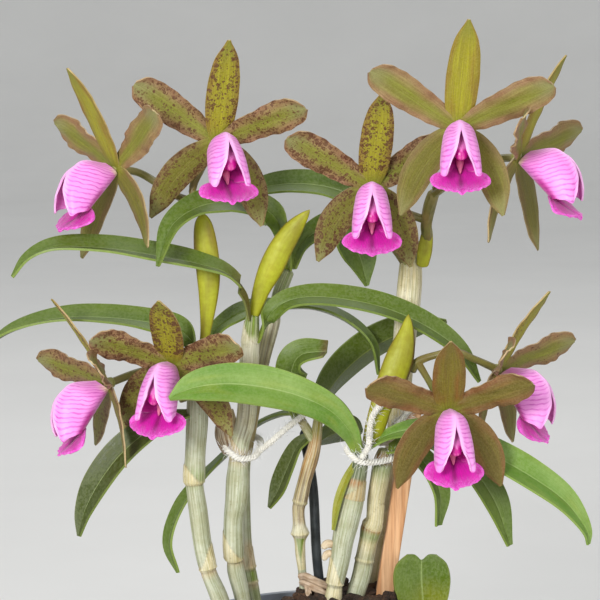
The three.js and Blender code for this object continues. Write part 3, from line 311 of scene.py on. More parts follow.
# Twine: closed turns round the canes, and the runs that join them
TIES = {
    "tie_1": dict(
        turns=[[
            [-42.4, 2, 157], [-37, -3.6, 153.6], [-31, -1, 153.4], [-28.4, 8, 155.6], [-28.6, 16, 157.6],
            [-33, 18.6, 158.8], [-40, 11, 158.6],
        ]],
        runs=[[
            [-29, 3.4, 154.6], [-24, 3, 158.6], [-18.9, 1.6, 163.4], [-13.4, 0, 168.2], [-8.5, -0.4, 172],
            [-4.6, 0, 172.6], [-2, 2.6, 171.6], [-1.8, 5.4, 170.2],
        ]],
    ),
    "tie_2": dict(
        turns=[[
            [6.8, -8, 157.6], [11, -13.2, 154.2], [18, -10.6, 153.2], [25, -7, 154], [33.4, 0.4, 155.6],
            [36.2, 7, 156], [30, 11.4, 156.6], [17, 5.8, 158], [8.8, -1.4, 158.4],
        ]],
        runs=[[
            [12.6, -13.4, 155], [15.2, -15, 160.4], [15.6, -14.8, 165.4], [16.4, -14.8, 171],
            [19.4, -15.2, 176.4], [25, -14.6, 179.6], [30.6, -9.4, 178], [33, -3, 174.6],
            [30.6, 0.4, 170.6], [26.4, -1.4, 167], [24.4, -3.2, 163.6],
        ]],
    ),
}

ROOTS = [
    [
        [-12.6, 1.2, 103.6, 1.2], [-10, -0.6, 104.4, 1.5], [-7.2, -3, 103.6, 1.5], [-3, -3.2, 101.6, 1.5],
        [0.8, -1.6, 99.4, 1.4], [2.5, 0.5, 95.5, 1.2],
    ],
    [
        [-12, 1, 101.6, 1.2], [-9.6, -1.4, 101.4, 1.5], [-5.6, -4.2, 100, 1.5], [-2.4, -4.6, 98.2, 1.5],
        [0.6, -3, 95, 1.3],
    ],
    [[-9.4, -1.6, 101, 1.2], [-8.6, -4.4, 98.6, 1.3], [-8.4, -6, 94.5, 1.2]],
]

UP = Vector((0, 0, 1))
FRONT = Vector((0, -1, 0))

# Thicknesses, and how finely each sheet and stem is divided, as rows and columns
TEPAL_THICK = 0.6
LOBE_THICK = 0.7
LEAF_THICK = 0.9
BRACT_THICK = 0.5
TEPAL_GRID = (56, 16)
SIDE_LOBE_GRID = (44, 60)
FRONT_LOBE_GRID = (30, 54)
BLADE_GRID = (56, 14)
SPATHE_GRID = (48, 28)
ROOT_GRID = (50, 18)
BRACT_GRID = (26, 12)
BED_GRID = (50, 96)
CANE_COLUMNS = 32
POT_SIDES = 120

# Tepals: how far the margin ripples and pinches in, how deep the keel is, and how far the blade arches back
RIPPLE = 0.34
PINCH = 0.018
KEEL = 0.5
ARCH = 0.8

# Lips: where the floor turns into the wall, as a share of the way round, how high it is there as a share of
# the height, how far the margin rolls out, and how far the ends of the lobes flare
LOBE_TURN = 0.45
LOBE_TURN_RISE = 0.34
LOBE_ROLL = 0.7
LOBE_FLARE = 1.4

# Canes: height of the ribs, of the rings, of the collars, and depth of the groove under a ring
RIB = 0.14
RING = 0.26
COLLAR = 0.28
GROOVE = 0.12

# Twine: strands, their radius and how far they lie from the middle, and loose hairs for each point of a line
STRANDS = 3
STRAND_RADIUS = 0.74
STRAND_OFFSET = 0.66
HAIRS = 44

BARK_CHIPS = 430
CHIP_SIZE = (9.5, 6.2, 2.8)
BARK_WIDEST = 54


# Small helpers
def rgb(red, green, blue):
    """A colour given as 0 to 255 per channel, as shader values."""
    def channel(c):
        c /= 255
        return c / 12.92 if c <= 0.04045 else ((c + 0.055) / 1.055) ** 2.4
    return Vector((channel(red), channel(green), channel(blue)))


def mix(a, b, share):
    return a + (b - a) * share


def soft_step(low, high, value):
    """0 below low, 1 above high, smooth between."""
    x = min(1, max(0, (value - low) / (high - low)))
    return x * x * (3 - 2 * x)


def hump(value, width):
    """1 at zero, and less to both sides of it."""
    return math.exp(-((value / width) ** 2))


def rough(x, y, z=0.0):
    """Smooth random height between about -1 and 1."""
    return noise.noise(Vector((x, y, z)))


def patchy(x, y, z=0.0):
    """The same between about 0 and 1."""
    return 0.5 + 0.5 * rough(x, y, z)


def number_of(name):
    return name.split("_")[-1]


def glide(start, end, leave, arrive, w):
    """A smooth way from start to end, with the slopes at both."""
    return (
        start * (2 * w**3 - 3 * w**2 + 1)
        + end * (3 * w**2 - 2 * w**3)
        + leave * (w**3 - 2 * w**2 + w)
        + arrive * (w**3 - w**2)
    )


def on_line(points, place, closed=False):
    """The point at a share of the way along a smooth line, which doesn't swing out between uneven points."""
    count = len(points)
    spans = count if closed else count - 1
    k = min(int(place * spans), spans - 1)
    a = points[k - 1] if closed or k else 2 * points[0] - points[1]
    b, c = points[k], points[(k + 1) % count]
    d = points[(k + 2) % count] if closed or k + 2 < count else 2 * points[-1] - points[-2]
    first, second, third = (max(1e-4, (q - p).length ** 0.5) for p, q in ((a, b), (b, c), (c, d)))
    leave = ((b - a) / first - (c - a) / (first + second) + (c - b) / second) * second
    arrive = ((c - b) / second - (d - b) / (second + third) + (d - c) / third) * second
    return glide(b, c, leave, arrive, place * spans - k)


def stations(line):
    return [Vector(p) for p in line]


def spot_on(points, place, closed=False):
    """Where a line is at a share of its length, which way it runs there, and its fourth number."""
    here = on_line(points, place, closed)
    around = [p % 1 if closed else min(1, max(0, p)) for p in (place - 1e-3, place + 1e-3)]
    before, after = (on_line(points, p, closed) for p in around)
    ahead = (after.xyz - before.xyz).normalized()
    return here.xyz, ahead, here[3] if len(here) > 3 else 0


def in_table(table, column, place):
    """A value read smoothly from a table whose rows start with their place."""
    last = len(table) - 1
    k = 0
    while k < last - 1 and place > table[k + 1][0]:
        k += 1
    start, end = table[k], table[k + 1]
    wide = end[0] - start[0]

    def slope(i):
        low, high = table[max(0, i - 1)], table[min(last, i + 1)]
        return (high[column] - low[column]) / (high[0] - low[0]) * wide

    w = min(1, max(0, (place - start[0]) / wide))
    return glide(start[column], end[column], slope(k), slope(k + 1), w)


def deselect():
    bpy.ops.object.select_all(action="DESELECT")


def pick(*objects):
    deselect()
    for each in objects:
        each.select_set(True)
    bpy.context.view_layer.objects.active = objects[0]


def edit_all(*steps):
    """Runs steps in edit mode, each of them on the whole of the active piece."""
    bpy.ops.object.mode_set(mode="EDIT")
    for step, settings in steps:
        bpy.ops.mesh.select_all(action="SELECT")
        step(**settings)
    bpy.ops.object.mode_set(mode="OBJECT")


FACE_OUT = (bpy.ops.mesh.normals_make_consistent, {"inside": False})


def apply_modifier(piece, kind, **settings):
    pick(piece)
    modifier = piece.modifiers.new(kind, kind)
    for key, value in settings.items():
        setattr(modifier, key, value)
    bpy.ops.object.modifier_apply(modifier=modifier.name)
    return piece


def sheet(name, rows, columns, place, paint=None, wrap=False):
    """A grid laid on a surface: place(s, t) in millimetres, s along it from 0 to 1, t across from -1 to 1.
    A wrapped grid is closed into a tube with capped ends."""
    deselect()
    bpy.ops.mesh.primitive_grid_add(x_subdivisions=columns, y_subdivisions=rows, size=2, calc_uvs=True)
    piece = bpy.context.object
    piece.name = name
    mesh = piece.data
    mesh.name = name
    tones = []
    for corner in mesh.vertices:
        s, t = (corner.co.y + 1) / 2, corner.co.x
        tones.append(paint(s, t) if paint else Vector((1, 1, 1)))
        corner.co = place(s, t) * MM
    colour = mesh.attributes.new("paint", "FLOAT_COLOR", "POINT")
    for k, tone in enumerate(tones):
        colour.data[k].color = (*tone, 1)
    if wrap:
        merge = (bpy.ops.mesh.remove_doubles, {"threshold": 2e-6})
        edit_all(merge, (bpy.ops.mesh.fill_holes, {"sides": 0}), FACE_OUT)
    return piece


def dress(piece, *materials):
    for material in materials:
        piece.data.materials.append(material)
    return piece


def thicken(piece, thick, *materials):
    """Gives a sheet its thickness. The materials are for its front, its back and its rim."""
    dress(piece, *materials)
    return apply_modifier(
        piece, "SOLIDIFY", thickness=thick * MM, offset=0, use_even_offset=False,
        material_offset=min(1, len(materials) - 1), material_offset_rim=2 if len(materials) > 2 else 0,
    )


def smooth(piece, angle=45):
    pick(piece)
    bpy.ops.object.shade_smooth_by_angle(angle=math.radians(angle))


def copied(model, change):
    """A copy with its own mesh, put in its place by a matrix in metres."""
    mesh = model.data.copy()
    mesh.transform(change)
    copy = bpy.data.objects.new(model.name, mesh)
    bpy.context.scene.collection.objects.link(copy)
    return copy


def joined(name, parts):
    pick(*parts)
    if len(parts) > 1:
        bpy.ops.object.join()
    parts[0].name = name
    parts[0].data.name = name
    return parts[0]


def finish_piece(piece, slot, *nodes, angle=45):
    smooth(piece, angle)
    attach(piece, "root")
    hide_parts(*nodes)


def even(s, turn, size):
    """The width of a plainly round stem."""
    return size, size


def tube(name, line, rows, columns, width, paint=None, face=FRONT):
    """A stem along a line. width(s, turn, size) gives its radius to the side and to the front."""
    points = stations(line)

    def place(s, t):
        here, ahead, size = spot_on(points, s)
        side = ahead.cross(face).normalized()
        front = side.cross(ahead).normalized()
        turn = math.pi * t
        across, deep = width(s, turn, size)
        end = min(s, 1 - s) * rows
        shrink = 0.0 if end < 0.5 else (0.72 if end < 1.5 else (0.93 if end < 2.5 else 1))
        return here + side * across * shrink * math.cos(turn) + front * deep * shrink * math.sin(turn)

    return sheet(name, rows, columns, place, paint, wrap=True)


# Shader building
class Nodes:
    """Short calls that add nodes to one shader tree and give back their sockets."""

    def __init__(self, tree):
        self.tree = tree

    def join(self, value, socket):
        if isinstance(value, bpy.types.NodeSocket):
            self.tree.links.new(value, socket)
        elif isinstance(value, Vector) and socket.type == "RGBA":
            socket.default_value = (*value, 1)
        else:
            socket.default_value = value

    def put(self, kind, inputs=(), **settings):
        node = self.tree.nodes.new("ShaderNode" + kind)
        for key, value in settings.items():
            setattr(node, key, value)
        for key, value in dict(inputs).items():
            self.join(value, node.inputs[key])
        return node

    def math(self, operation, a, b=0.0, c=0.0):
        return self.put("Math", {0: a, 1: b, 2: c}, operation=operation).outputs[0]

    def times(self, a, b):
        return self.math("MULTIPLY", a, b)

    def plus(self, a, b):
        return self.math("ADD", a, b)

    def blend(self, share, a, b, mode="MIX"):
        return self.put("Mix", {0: share, 6: a, 7: b}, data_type="RGBA", blend_type=mode).outputs[2]

    def step(self, value, low, high, to_low=0.0, to_high=1.0):
        inputs = {"Value": value, "From Min": low, "From Max": high, "To Min": to_low, "To Max": to_high}
        return self.put("MapRange", inputs, interpolation_type="SMOOTHSTEP").outputs[0]

    def between(self, low, high, mask):
        return self.step(mask, 0.0, 1.0, low, high)

    def noise(self, place, scale, detail=2.0, roughness=0.5):
        return self.put("TexNoise", {
            "Vector": place, "Scale": scale, "Detail": detail, "Roughness": roughness,
        }).outputs

    def combine(self, x, y):
        return self.put("CombineXYZ", {0: x, 1: y}).outputs[0]

    def split(self, colour):
        return self.put("SeparateColor", {0: colour}).outputs

    def hardened(self, value, sharpness):
        """Noise about 0.5 made a mask, with soft edges at sharpness 0 and hard ones at 1."""
        half = self.times(self.math("SUBTRACT", 1.0, sharpness), 0.3)
        return self.step(value, self.math("SUBTRACT", 0.5, half), self.plus(self.plus(0.5, half), 0.001))


def new_group(name, build, *inputs):
    """A node group that gives one mask. Its inputs are given as (name, kind, start value)."""
    tree = bpy.data.node_groups.new(name, "ShaderNodeTree")
    for label, kind, start in inputs:
        socket = tree.interface.new_socket(name=label, in_out="INPUT", socket_type="NodeSocket" + kind)
        if start is not None:
            socket.default_value = start
    tree.interface.new_socket(name="Mask", in_out="OUTPUT", socket_type="NodeSocketFloat")
    starts = tree.nodes.new("NodeGroupInput").outputs
    mask = build(Nodes(tree), *[starts[k] for k in range(len(inputs))])
    tree.links.new(mask, tree.nodes.new("NodeGroupOutput").inputs[0])
    return tree


def mottling(n, place, scale, sharpness):
    """Cloudy patches."""
    return n.hardened(n.noise(place, scale, 4.0, 0.6)[0], sharpness)


def long_lines(n, across, along, count, waver, sharpness):
    """Fine uneven lines that run along a piece."""
    place = n.combine(n.times(across, count), n.times(along, waver))
    return n.hardened(n.noise(place, 1.0, 3.0, 0.55)[0], sharpness)


def smeared_spots(n, place, scale, amount):
    """Smeared spots of uneven size, some of them rings. Amount goes from none to crowded."""
    stray = n.noise(place, scale)["Color"]
    shift = n.put("VectorMath", {0: stray, 1: (0.002, 0.002, 0.002), 2: place}, operation="MULTIPLY_ADD")
    cells = n.put("TexVoronoi", {"Vector": shift.outputs[0], "Scale": scale}, feature="F1").outputs
    draw = n.split(cells["Color"])
    reach = n.times(n.times(n.math("MULTIPLY_ADD", draw[0], 0.7, 0.3), amount), 0.72)
    inside = n.step(n.math("SUBTRACT", reach, cells["Distance"]), -0.03, 0.05)
    middle = n.math("SUBTRACT", n.times(reach, 0.5), cells["Distance"])
    hollow = n.times(n.step(middle, -0.03, 0.05), n.step(draw[1], 0.4, 0.5))
    return n.math("MULTIPLY_ADD", hollow, -0.75, inside)


MOTTLING = new_group(
    "mottling", mottling, ("Vector", "Vector", None), ("Scale", "Float", 100.0), ("Sharpness", "Float", 0.5),
)
LONG_LINES = new_group(
    "long_lines", long_lines, ("Across", "Float", 0.0), ("Along", "Float", 0.0), ("Count", "Float", 20.0),
    ("Waver", "Float", 1.0), ("Sharpness", "Float", 0.5),
)
SPOTS = new_group(
    "spots", smeared_spots, ("Vector", "Vector", None), ("Scale", "Float", 400.0), ("Amount", "Float", 0.5),
)


class Finish(Nodes):
    """A material in the making. Its tone starts as the piece's paint and takes one coat after another."""

    def __init__(self, name, roughness, **fixed):
        self.material = bpy.data.materials.new(name)
        self.material.use_nodes = True
        super().__init__(self.material.node_tree)
        self.shader = self.tree.nodes["Principled BSDF"]
        self.shader.inputs["Roughness"].default_value = roughness
        for key, value in fixed.items():
            self.shader.inputs[key.replace("_", " ")].default_value = value

    @cached_property
    def place(self):
        return self.put("TexCoord").outputs["Object"]

    @cached_property
    def across_along(self):
        """How far across and along its sheet a point is, from 0 to 1."""
        return self.put("SeparateXYZ", {0: self.put("UVMap", uv_map="UVMap").outputs[0]}).outputs

    @cached_property
    def tone(self):
        return self.attribute("paint")

    def attribute(self, name):
        return self.put("Attribute", attribute_name=name).outputs["Color"]

    def group(self, tree, **inputs):
        node = self.tree.nodes.new("ShaderNodeGroup")
        node.node_tree = tree
        for key, value in inputs.items():
            self.join(value, node.inputs[key])
        return node.outputs["Mask"]

    def clouds(self, scale, sharpness, place=None):
        return self.group(MOTTLING, Vector=place or self.place, Scale=scale, Sharpness=sharpness)

    def lines(self, count, waver, sharpness):
        return self.group(
            LONG_LINES, Across=self.across_along[0], Along=self.across_along[1], Count=count, Waver=waver,
            Sharpness=sharpness,
        )

    def spots(self, scale, amount):
        return self.group(SPOTS, Vector=self.place, Scale=scale, Amount=amount)

    def stretched(self, upright):
        """Places on the piece, pulled along its height."""
        return self.put("Mapping", {"Vector": self.place, "Scale": (1.0, 1.0, upright)}).outputs[0]

    def from_middle(self):
        """-1 at the left edge of a sheet, 1 at the right one."""
        return self.math("MULTIPLY_ADD", self.across_along[0], 2.0, -1.0)

    def cover(self, mask, share, colour):
        self.tone = self.blend(self.times(mask, share), self.tone, colour)

    def stain(self, mask, share, tint):
        self.cover(mask, share, self.blend(1.0, self.tone, tint, "MULTIPLY"))

    def done(self, roughness=None, height=None, strength=0.0, distance=0.0):
        """Joins the tone, the roughness and the relief to the shader."""
        self.join(self.tone, self.shader.inputs["Base Color"])
        if roughness:
            self.join(roughness, self.shader.inputs["Roughness"])
        if height:
            bump = self.put("Bump", {"Strength": strength, "Distance": distance, "Height": height})
            self.join(bump.outputs[0], self.shader.inputs["Normal"])
        return self.material


def tepal_finish(name, back=False):
    """Olive to tan petals: lengthwise veins, a mottled margin and brown rings and spots."""
    f = Finish(name, 0.6, Specular_IOR_Level=0.3)
    spotted, blotched, _ = f.split(f.attribute("marks"))
    veins, streaks = f.lines(26.0, 2.2, 0.35), f.lines(40.0, 9.0, 0.75)
    clouds, grain = f.clouds(420.0, 0.35), f.clouds(1500.0, 0.3)
    f.stain(veins, 0.75, rgb(204, 192, 150))
    f.cover(streaks, f.math("MULTIPLY_ADD", blotched, 0.9, 0.1), rgb(112, 76, 56))
    f.cover(f.times(clouds, blotched), 0.75, rgb(116, 64, 48))
    amount = f.times(spotted, 0.45) if back else spotted
    f.cover(f.math("MAXIMUM", f.spots(520.0, amount), f.spots(900.0, amount)), 0.92, rgb(74, 28, 8))
    f.cover(grain, 0.14, rgb(190, 176, 120))
    return f.done(f.between(0.52, 0.7, grain), f.plus(veins, f.plus(clouds, grain)), 0.4, 0.00018)


def rim_finish(name, tone, share):
    """The cut edge of a sheet: its own tone laid over the paint of the sheet."""
    f = Finish(name, 0.5)
    f.cover(1.0, share, f.blend(f.clouds(900.0, 0.2), tone, tone * 0.72))
    return f.done()


def lobe_finish(name, veined):
    """Pink side lobes of the lip, with slanting veins that fade out at the pale margin."""
    f = Finish(name, 0.45, Sheen_Weight=0.15)
    fold = f.math("ABSOLUTE", f.from_middle())
    lean = f.times(f.across_along[1], f.math("MULTIPLY_ADD", fold, -1.1, -0.7))
    fan = f.math("MULTIPLY_ADD", f.noise(f.place, 240.0)[0], 0.12, f.plus(lean, fold))
    wave = f.math("SINE", f.times(fan, 60.0))
    vein = f.times(f.step(wave, 0.1, 1.0), f.between(0.45, 1.0, f.clouds(260.0, 0.1)))
    vein = f.times(vein, f.step(fold, 0.98, 0.92))
    f.stain(vein, veined, rgb(214, 116, 206))
    return f.done(f.between(0.5, 0.4, vein), vein, 0.4, 0.00015)


def front_lobe_finish(name):
    """Magenta front lobe with rays, and pale specks at its edge."""
    f = Finish(name, 0.4, Sheen_Weight=0.2)
    side = f.from_middle()
    rays = f.combine(f.times(side, 15.0), f.times(f.across_along[1], 3.0))
    ray = f.step(f.noise(rays, 1.6, 4.0, 0.65)[0], 0.4, 0.66)
    edge = f.step(f.math("MAXIMUM", f.math("ABSOLUTE", side), f.across_along[1]), 0.55, 1.0)
    f.stain(ray, 0.5, rgb(200, 130, 200))
    f.cover(f.times(f.math("MAXIMUM", ray, f.spots(1300.0, 0.8)), edge), 0.6, rgb(240, 130, 222))
    return f.done(f.between(0.36, 0.5, ray), ray, 0.4, 0.0002)


def soft_flesh(name, dark, roughness):
    """Painted smooth flesh with a faint grain, as on the column and the pedicels."""
    f = Finish(name, roughness)
    clouds, lines = f.clouds(500.0, 0.2), f.lines(14.0, 2.0, 0.4)
    f.stain(clouds, 0.45, dark)
    f.stain(lines, 0.35, dark)
    return f.done(f.between(roughness - 0.06, roughness + 0.08, clouds), lines, 0.3, 0.0002)


def leaf_finish(name, upper):
    """Leathery leaf: midrib, fine parallel veins, a dusty bloom and a waxy gloss."""
    f = Finish(name, 0.4, Specular_IOR_Level=0.4)
    side = f.math("ABSOLUTE", f.from_middle())
    veins, clouds, dust = f.lines(46.0, 1.6, 0.3), f.clouds(110.0, 0.3), f.clouds(900.0, 0.55)
    rib = f.step(side, 0.05, 0.012)
    if not upper:
        f.stain(1.0, 1.0, rgb(232, 228, 160))
    f.stain(veins, 0.45, rgb(206, 212, 160))
    f.stain(clouds, 0.6, rgb(216, 226, 140))
    f.cover(rib, 0.35, rgb(168, 184, 120) if upper else rgb(150, 160, 60))
    f.cover(dust, 0.07, rgb(206, 214, 170))
    f.cover(f.step(side, 0.955, 0.99), 0.25, rgb(150, 158, 70))
    height = f.plus(veins, f.times(rib, -1.6 if upper else 1.6))
    return f.done(f.between(0.33, 0.55, dust), height, 0.25, 0.00025)


def cane_finish(name):
    """Dry sheaths over the canes: pale ribs, close lengthwise fibres and a little staining."""
    f = Finish(name, 0.7)
    fibres, ribs = f.lines(84.0, 7.0, 0.6), f.lines(22.0, 1.2, 0.6)
    f.stain(fibres, 0.68, rgb(168, 164, 118))
    f.cover(ribs, 0.42, rgb(230, 230, 210))
    f.stain(f.clouds(150.0, 0.45), 0.45, rgb(204, 196, 150))
    f.cover(f.spots(800.0, 0.34), 0.35, rgb(104, 78, 44))
    return f.done(f.between(0.6, 0.82, fibres), f.plus(fibres, ribs), 0.5, 0.00028)


def wood_finish(name):
    """Sawn pale wood with its grain upright."""
    f = Finish(name, 0.75)
    place = f.stretched(0.045)
    grain, bands = f.noise(place, 900.0, 6.0, 0.6)[0], f.noise(place, 260.0)[0]
    f.tone = f.blend(f.step(bands, 0.35, 0.65), rgb(226, 182, 138), rgb(196, 144, 98))
    f.cover(f.step(grain, 0.42, 0.62), 0.45, rgb(150, 98, 60))
    return f.done(f.step(grain, 0.3, 0.7, 0.65, 0.85), grain, 0.5, 0.0003)


def stick_finish(name):
    """Dark, slightly uneven plastic."""
    f = Finish(name, 0.5)
    clouds = f.clouds(300.0, 0.2)
    f.tone = f.blend(clouds, rgb(34, 40, 44), rgb(58, 64, 66))
    return f.done(f.between(0.4, 0.6, clouds), clouds, 0.2, 0.0002)


def pot_finish(name):
    """Blue-grey moulded plastic, a little scuffed and dusty."""
    f = Finish(name, 0.42)
    scuffs = f.clouds(420.0, 0.86, f.stretched(0.5))
    f.tone = f.blend(f.clouds(60.0, 0.1), rgb(126, 134, 146), rgb(142, 148, 156))
    f.cover(scuffs, 0.07, rgb(182, 186, 188))
    return f.done(f.between(0.4, 0.62, scuffs), f.clouds(2200.0, 0.3), 0.12, 0.0001)


def bark_finish(name):
    """Dark cracked bark, with each chip's own shade laid over it."""
    f = Finish(name, 0.92)
    plates = f.put("TexVoronoi", {"Vector": f.place, "Scale": 320.0}, feature="DISTANCE_TO_EDGE")
    crack, fine = f.step(plates.outputs["Distance"], 0.06, 0.0), f.clouds(1100.0, 0.3)
    shade, f.tone = f.tone, f.blend(f.clouds(150.0, 0.3), rgb(52, 36, 25), rgb(98, 70, 48))
    f.cover(fine, 0.45, rgb(30, 22, 16))
    f.cover(crack, 0.7, rgb(20, 14, 10))
    f.stain(1.0, 1.0, shade)
    return f.done(f.between(0.85, 0.98, fine), f.math("SUBTRACT", fine, crack), 0.8, 0.0006)


def twine_finish(name):
    """White cotton fibres, a little dirty."""
    f = Finish(name, 0.9, Sheen_Weight=0.4, Sheen_Roughness=0.5)
    fibres, dirt = f.lines(12.0, 60.0, 0.3), f.clouds(300.0, 0.3)
    f.tone = f.blend(f.times(fibres, 0.5), rgb(242, 240, 232), rgb(196, 192, 180))
    f.cover(dirt, 0.2, rgb(206, 196, 168))
    return f.done(f.between(0.84, 0.96, dirt), fibres, 0.6, 0.0003)


TEPAL = (
    tepal_finish("tepal_front"), tepal_finish("tepal_back", back=True),
    rim_finish("tepal_rim", rgb(196, 170, 126), 0.6),
)
SIDE_LOBE = (
    lobe_finish("lip_lobe_outside", 0.8), lobe_finish("lip_lobe_inside", 0.3),
    rim_finish("lip_lobe_rim", rgb(248, 206, 240), 0.3),
)
FRONT_FACE = front_lobe_finish("lip_front_lobe")
COLUMN_FLESH = soft_flesh("lip_column", rgb(236, 190, 216), 0.35)
STALK_FLESH = soft_flesh("flower_stalk", rgb(190, 180, 140), 0.45)
BLADE = (
    leaf_finish("leaf_upper", upper=True), leaf_finish("leaf_under", upper=False),
    rim_finish("leaf_rim", rgb(132, 150, 66), 0.5),
)
CANE_SHEATH = cane_finish("cane_sheath")
SPATHE_FLESH = soft_flesh("spathe", rgb(214, 200, 140), 0.55)
ROOT_SKIN = soft_flesh("root_skin", rgb(200, 182, 150), 0.85)
STAKE_WOOD = wood_finish("stake_wood")
STICK_PLASTIC = stick_finish("stick_plastic")
POT_PLASTIC = pot_finish("pot_plastic")
BARK = bark_finish("bark")
TWINE = twine_finish("twine")


# Blooms
def bloom_axes(bloom):
    turn, nod = math.radians(bloom["turn"]), math.radians(bloom["nod"])
    right = Vector((math.cos(turn), math.sin(turn), 0))
    level = Vector((math.sin(turn), -math.cos(turn), 0))
    forward = level * math.cos(nod) - UP * math.sin(nod)
    return right, level, forward, forward.cross(right)


def put_marks(piece, amounts):
    """Stores how spotted and how blotched a tepal is at each point."""
    marks = piece.data.attributes.new("marks", "FLOAT_COLOR", "POINT")
    for k, (spotted, blotched) in enumerate(amounts):
        marks.data[k].color = (spotted, blotched, 0, 1)


def tepal_tones(kind, rust):
    """Centre, margin and tip colours of a petal, the dorsal sepal or a lateral sepal."""
    centre, margin, end = {
        "petal": (rgb(116, 122, 30), rgb(148, 112, 90), rgb(134, 134, 92)),
        "dorsal": (rgb(146, 144, 4), rgb(128, 108, 16), rgb(118, 122, 40)),
        "lateral": (rgb(108, 108, 22), rgb(122, 104, 64), rgb(136, 136, 88)),
    }[kind]
    if rust > 0.8:
        return mix(centre, rgb(92, 78, 6), 0.75), mix(margin, rgb(104, 60, 16), 0.8), rgb(104, 94, 30)
    return centre, margin, end


def tepal(bloom, tip, kind, seed):
    """One sepal or petal: front, back and a pale rim."""
    _, _, forward, up = bloom_axes(bloom)
    centre, reach = Vector(bloom["at"]), Vector(tip)
    ahead = reach.normalized()
    side = ahead.cross(forward).normalized()
    mirrored = -1 if side.dot(up) < 0 else 1
    side *= mirrored
    front = side.cross(ahead)
    if front.dot(forward) < 0:
        front.negate()
    petal = kind == "petal"
    half, shape = (PETAL_HALF, PETAL_SHAPE) if petal else (SEPAL_HALF, SEPAL_SHAPE)
    sickle = SICKLE if kind == "lateral" else 0
    rows, columns = TEPAL_GRID
    waves = 6.5 if petal else 4.5
    crimp = 1.0 if petal else 0.25

    def place(s, t):
        t *= mirrored
        width = half * max(0.03, in_table(shape, 1, s))
        bend = math.sin(math.pi * s)
        edge = abs(t)
        beat = 2 * math.pi * waves * s + 1.7 * seed + 2 * rough(4 * s, 2 * t, seed)
        ripple = RIPPLE * crimp * edge**3 * math.sin(beat) * min(1, 5 * s)
        pinch = 1 + PINCH * crimp * edge**4 * math.sin(beat + 1.2)
        if petal:
            ripple += PETAL_WAVE * edge * math.sin(2 * math.pi * (2.1 * s + 0.25 * t)) * min(1, 3 * s)
        ripple += 0.35 * edge**2 * rough(5 * s + 2 * t, seed, 0.4)
        keel = -KEEL * (1 - edge) ** 3 * bend
        return (
            centre
            + reach * s
            + side * (width * pinch * t + sickle * bend)
            + front * (ripple - 0.12 * width * edge**1.6 - ARCH * bend + keel)
        )

    middle, margin, end = tepal_tones(kind, bloom["rust"])
    rusty = 0.7 * bloom["rust"] * (1 if kind == "dorsal" else 0.5)

    def paint(s, t):
        edge = abs(t)
        patch = patchy(4 * s, 3 * t * mirrored, seed)
        outer = soft_step(0.12 if petal else 0.5, 0.9, edge + 0.4 * (patch - 0.5))
        tone = mix(middle, margin, outer * (0.6 + 0.4 * patch))
        rust = rusty * soft_step(0.4, 0.8, patch) * soft_step(0.3, 0.7, edge + 0.2)
        tone = mix(tone, rgb(128, 74, 12), rust)
        tone = mix(tone, end, 0.75 * soft_step(0.76, 1.0, s + 0.1 * patch) * soft_step(0.9, 0.5, edge))
        tone = mix(tone, middle * 1.12, 0.6 * hump(t, 0.16) * soft_step(1.0, 0.7, s))
        return mix(tone, rgb(132, 140, 34), 0.85 * soft_step(0.2, 0.02, s))

    piece = sheet("tepal", rows, columns, place, paint)
    amounts = []
    for row in range(rows + 1):
        for column in range(columns + 1):
            s, t = row / rows, (2 * column / columns - 1) * mirrored
            patch = patchy(3.2 * s + 9, 2.4 * t, seed)
            ends = soft_step(0.06, 0.2, s) * soft_step(1.02, 0.9, s)
            strength = bloom["spots"] * ends * (0.6 + 0.6 * patch) * (0.6 + 0.4 * soft_step(0.1, 0.7, abs(t)))
            blotched = soft_step(0.3, 0.9, abs(t)) * soft_step(0.1, 0.3, s) * (0.7 if petal else 0.2)
            amounts.append((min(1.0, strength), blotched * (0.35 + 0.65 * bloom["spots"])))
    put_marks(piece, amounts)
    return thicken(piece, TEPAL_THICK, *TEPAL)


def hub(bloom):
    """The green knob where the sepals and petals meet."""
    _, _, forward, _ = bloom_axes(bloom)
    centre = Vector(bloom["at"])
    line = [[*(centre + forward * d), r] for d, r in ((-3.4, 1.7), (-2, 2.2), (-0.6, 2.3), (0.8, 2))]
    face = UP if abs(forward.y) > 0.7 else FRONT
    piece = tube("hub", line, 12, 16, even, lambda s, t: mix(rgb(150, 156, 66), rgb(196, 196, 130), s), face)
    put_marks(piece, [(0.0, 0.0)] * len(piece.data.vertices))
    return dress(piece, STALK_FLESH)


def bloom_piece(number, bloom):
    parts = [hub(bloom), tepal(bloom, bloom["dorsal"], "dorsal", 10 * number)]
    for kind, tips, seed in (("petal", bloom["petals"], 2), ("lateral", bloom["laterals"], 5)):
        parts += [tepal(bloom, tip, kind, 10 * number + seed + k) for k, tip in enumerate(tips)]
    finish_piece(joined(f"sepals_and_petals_{number}", parts), "tepal", f"bloom_{number}")


# Lips
def lip_frame(bloom):
    right, level, _, _ = bloom_axes(bloom)
    slope = math.radians(bloom["lip_slope"])
    along = level * math.cos(slope) - UP * math.sin(slope)
    above = level * math.sin(slope) + UP * math.cos(slope)
    centre = Vector(bloom["at"])
    return lambda x, a, b: centre + right * x + along * a + above * b


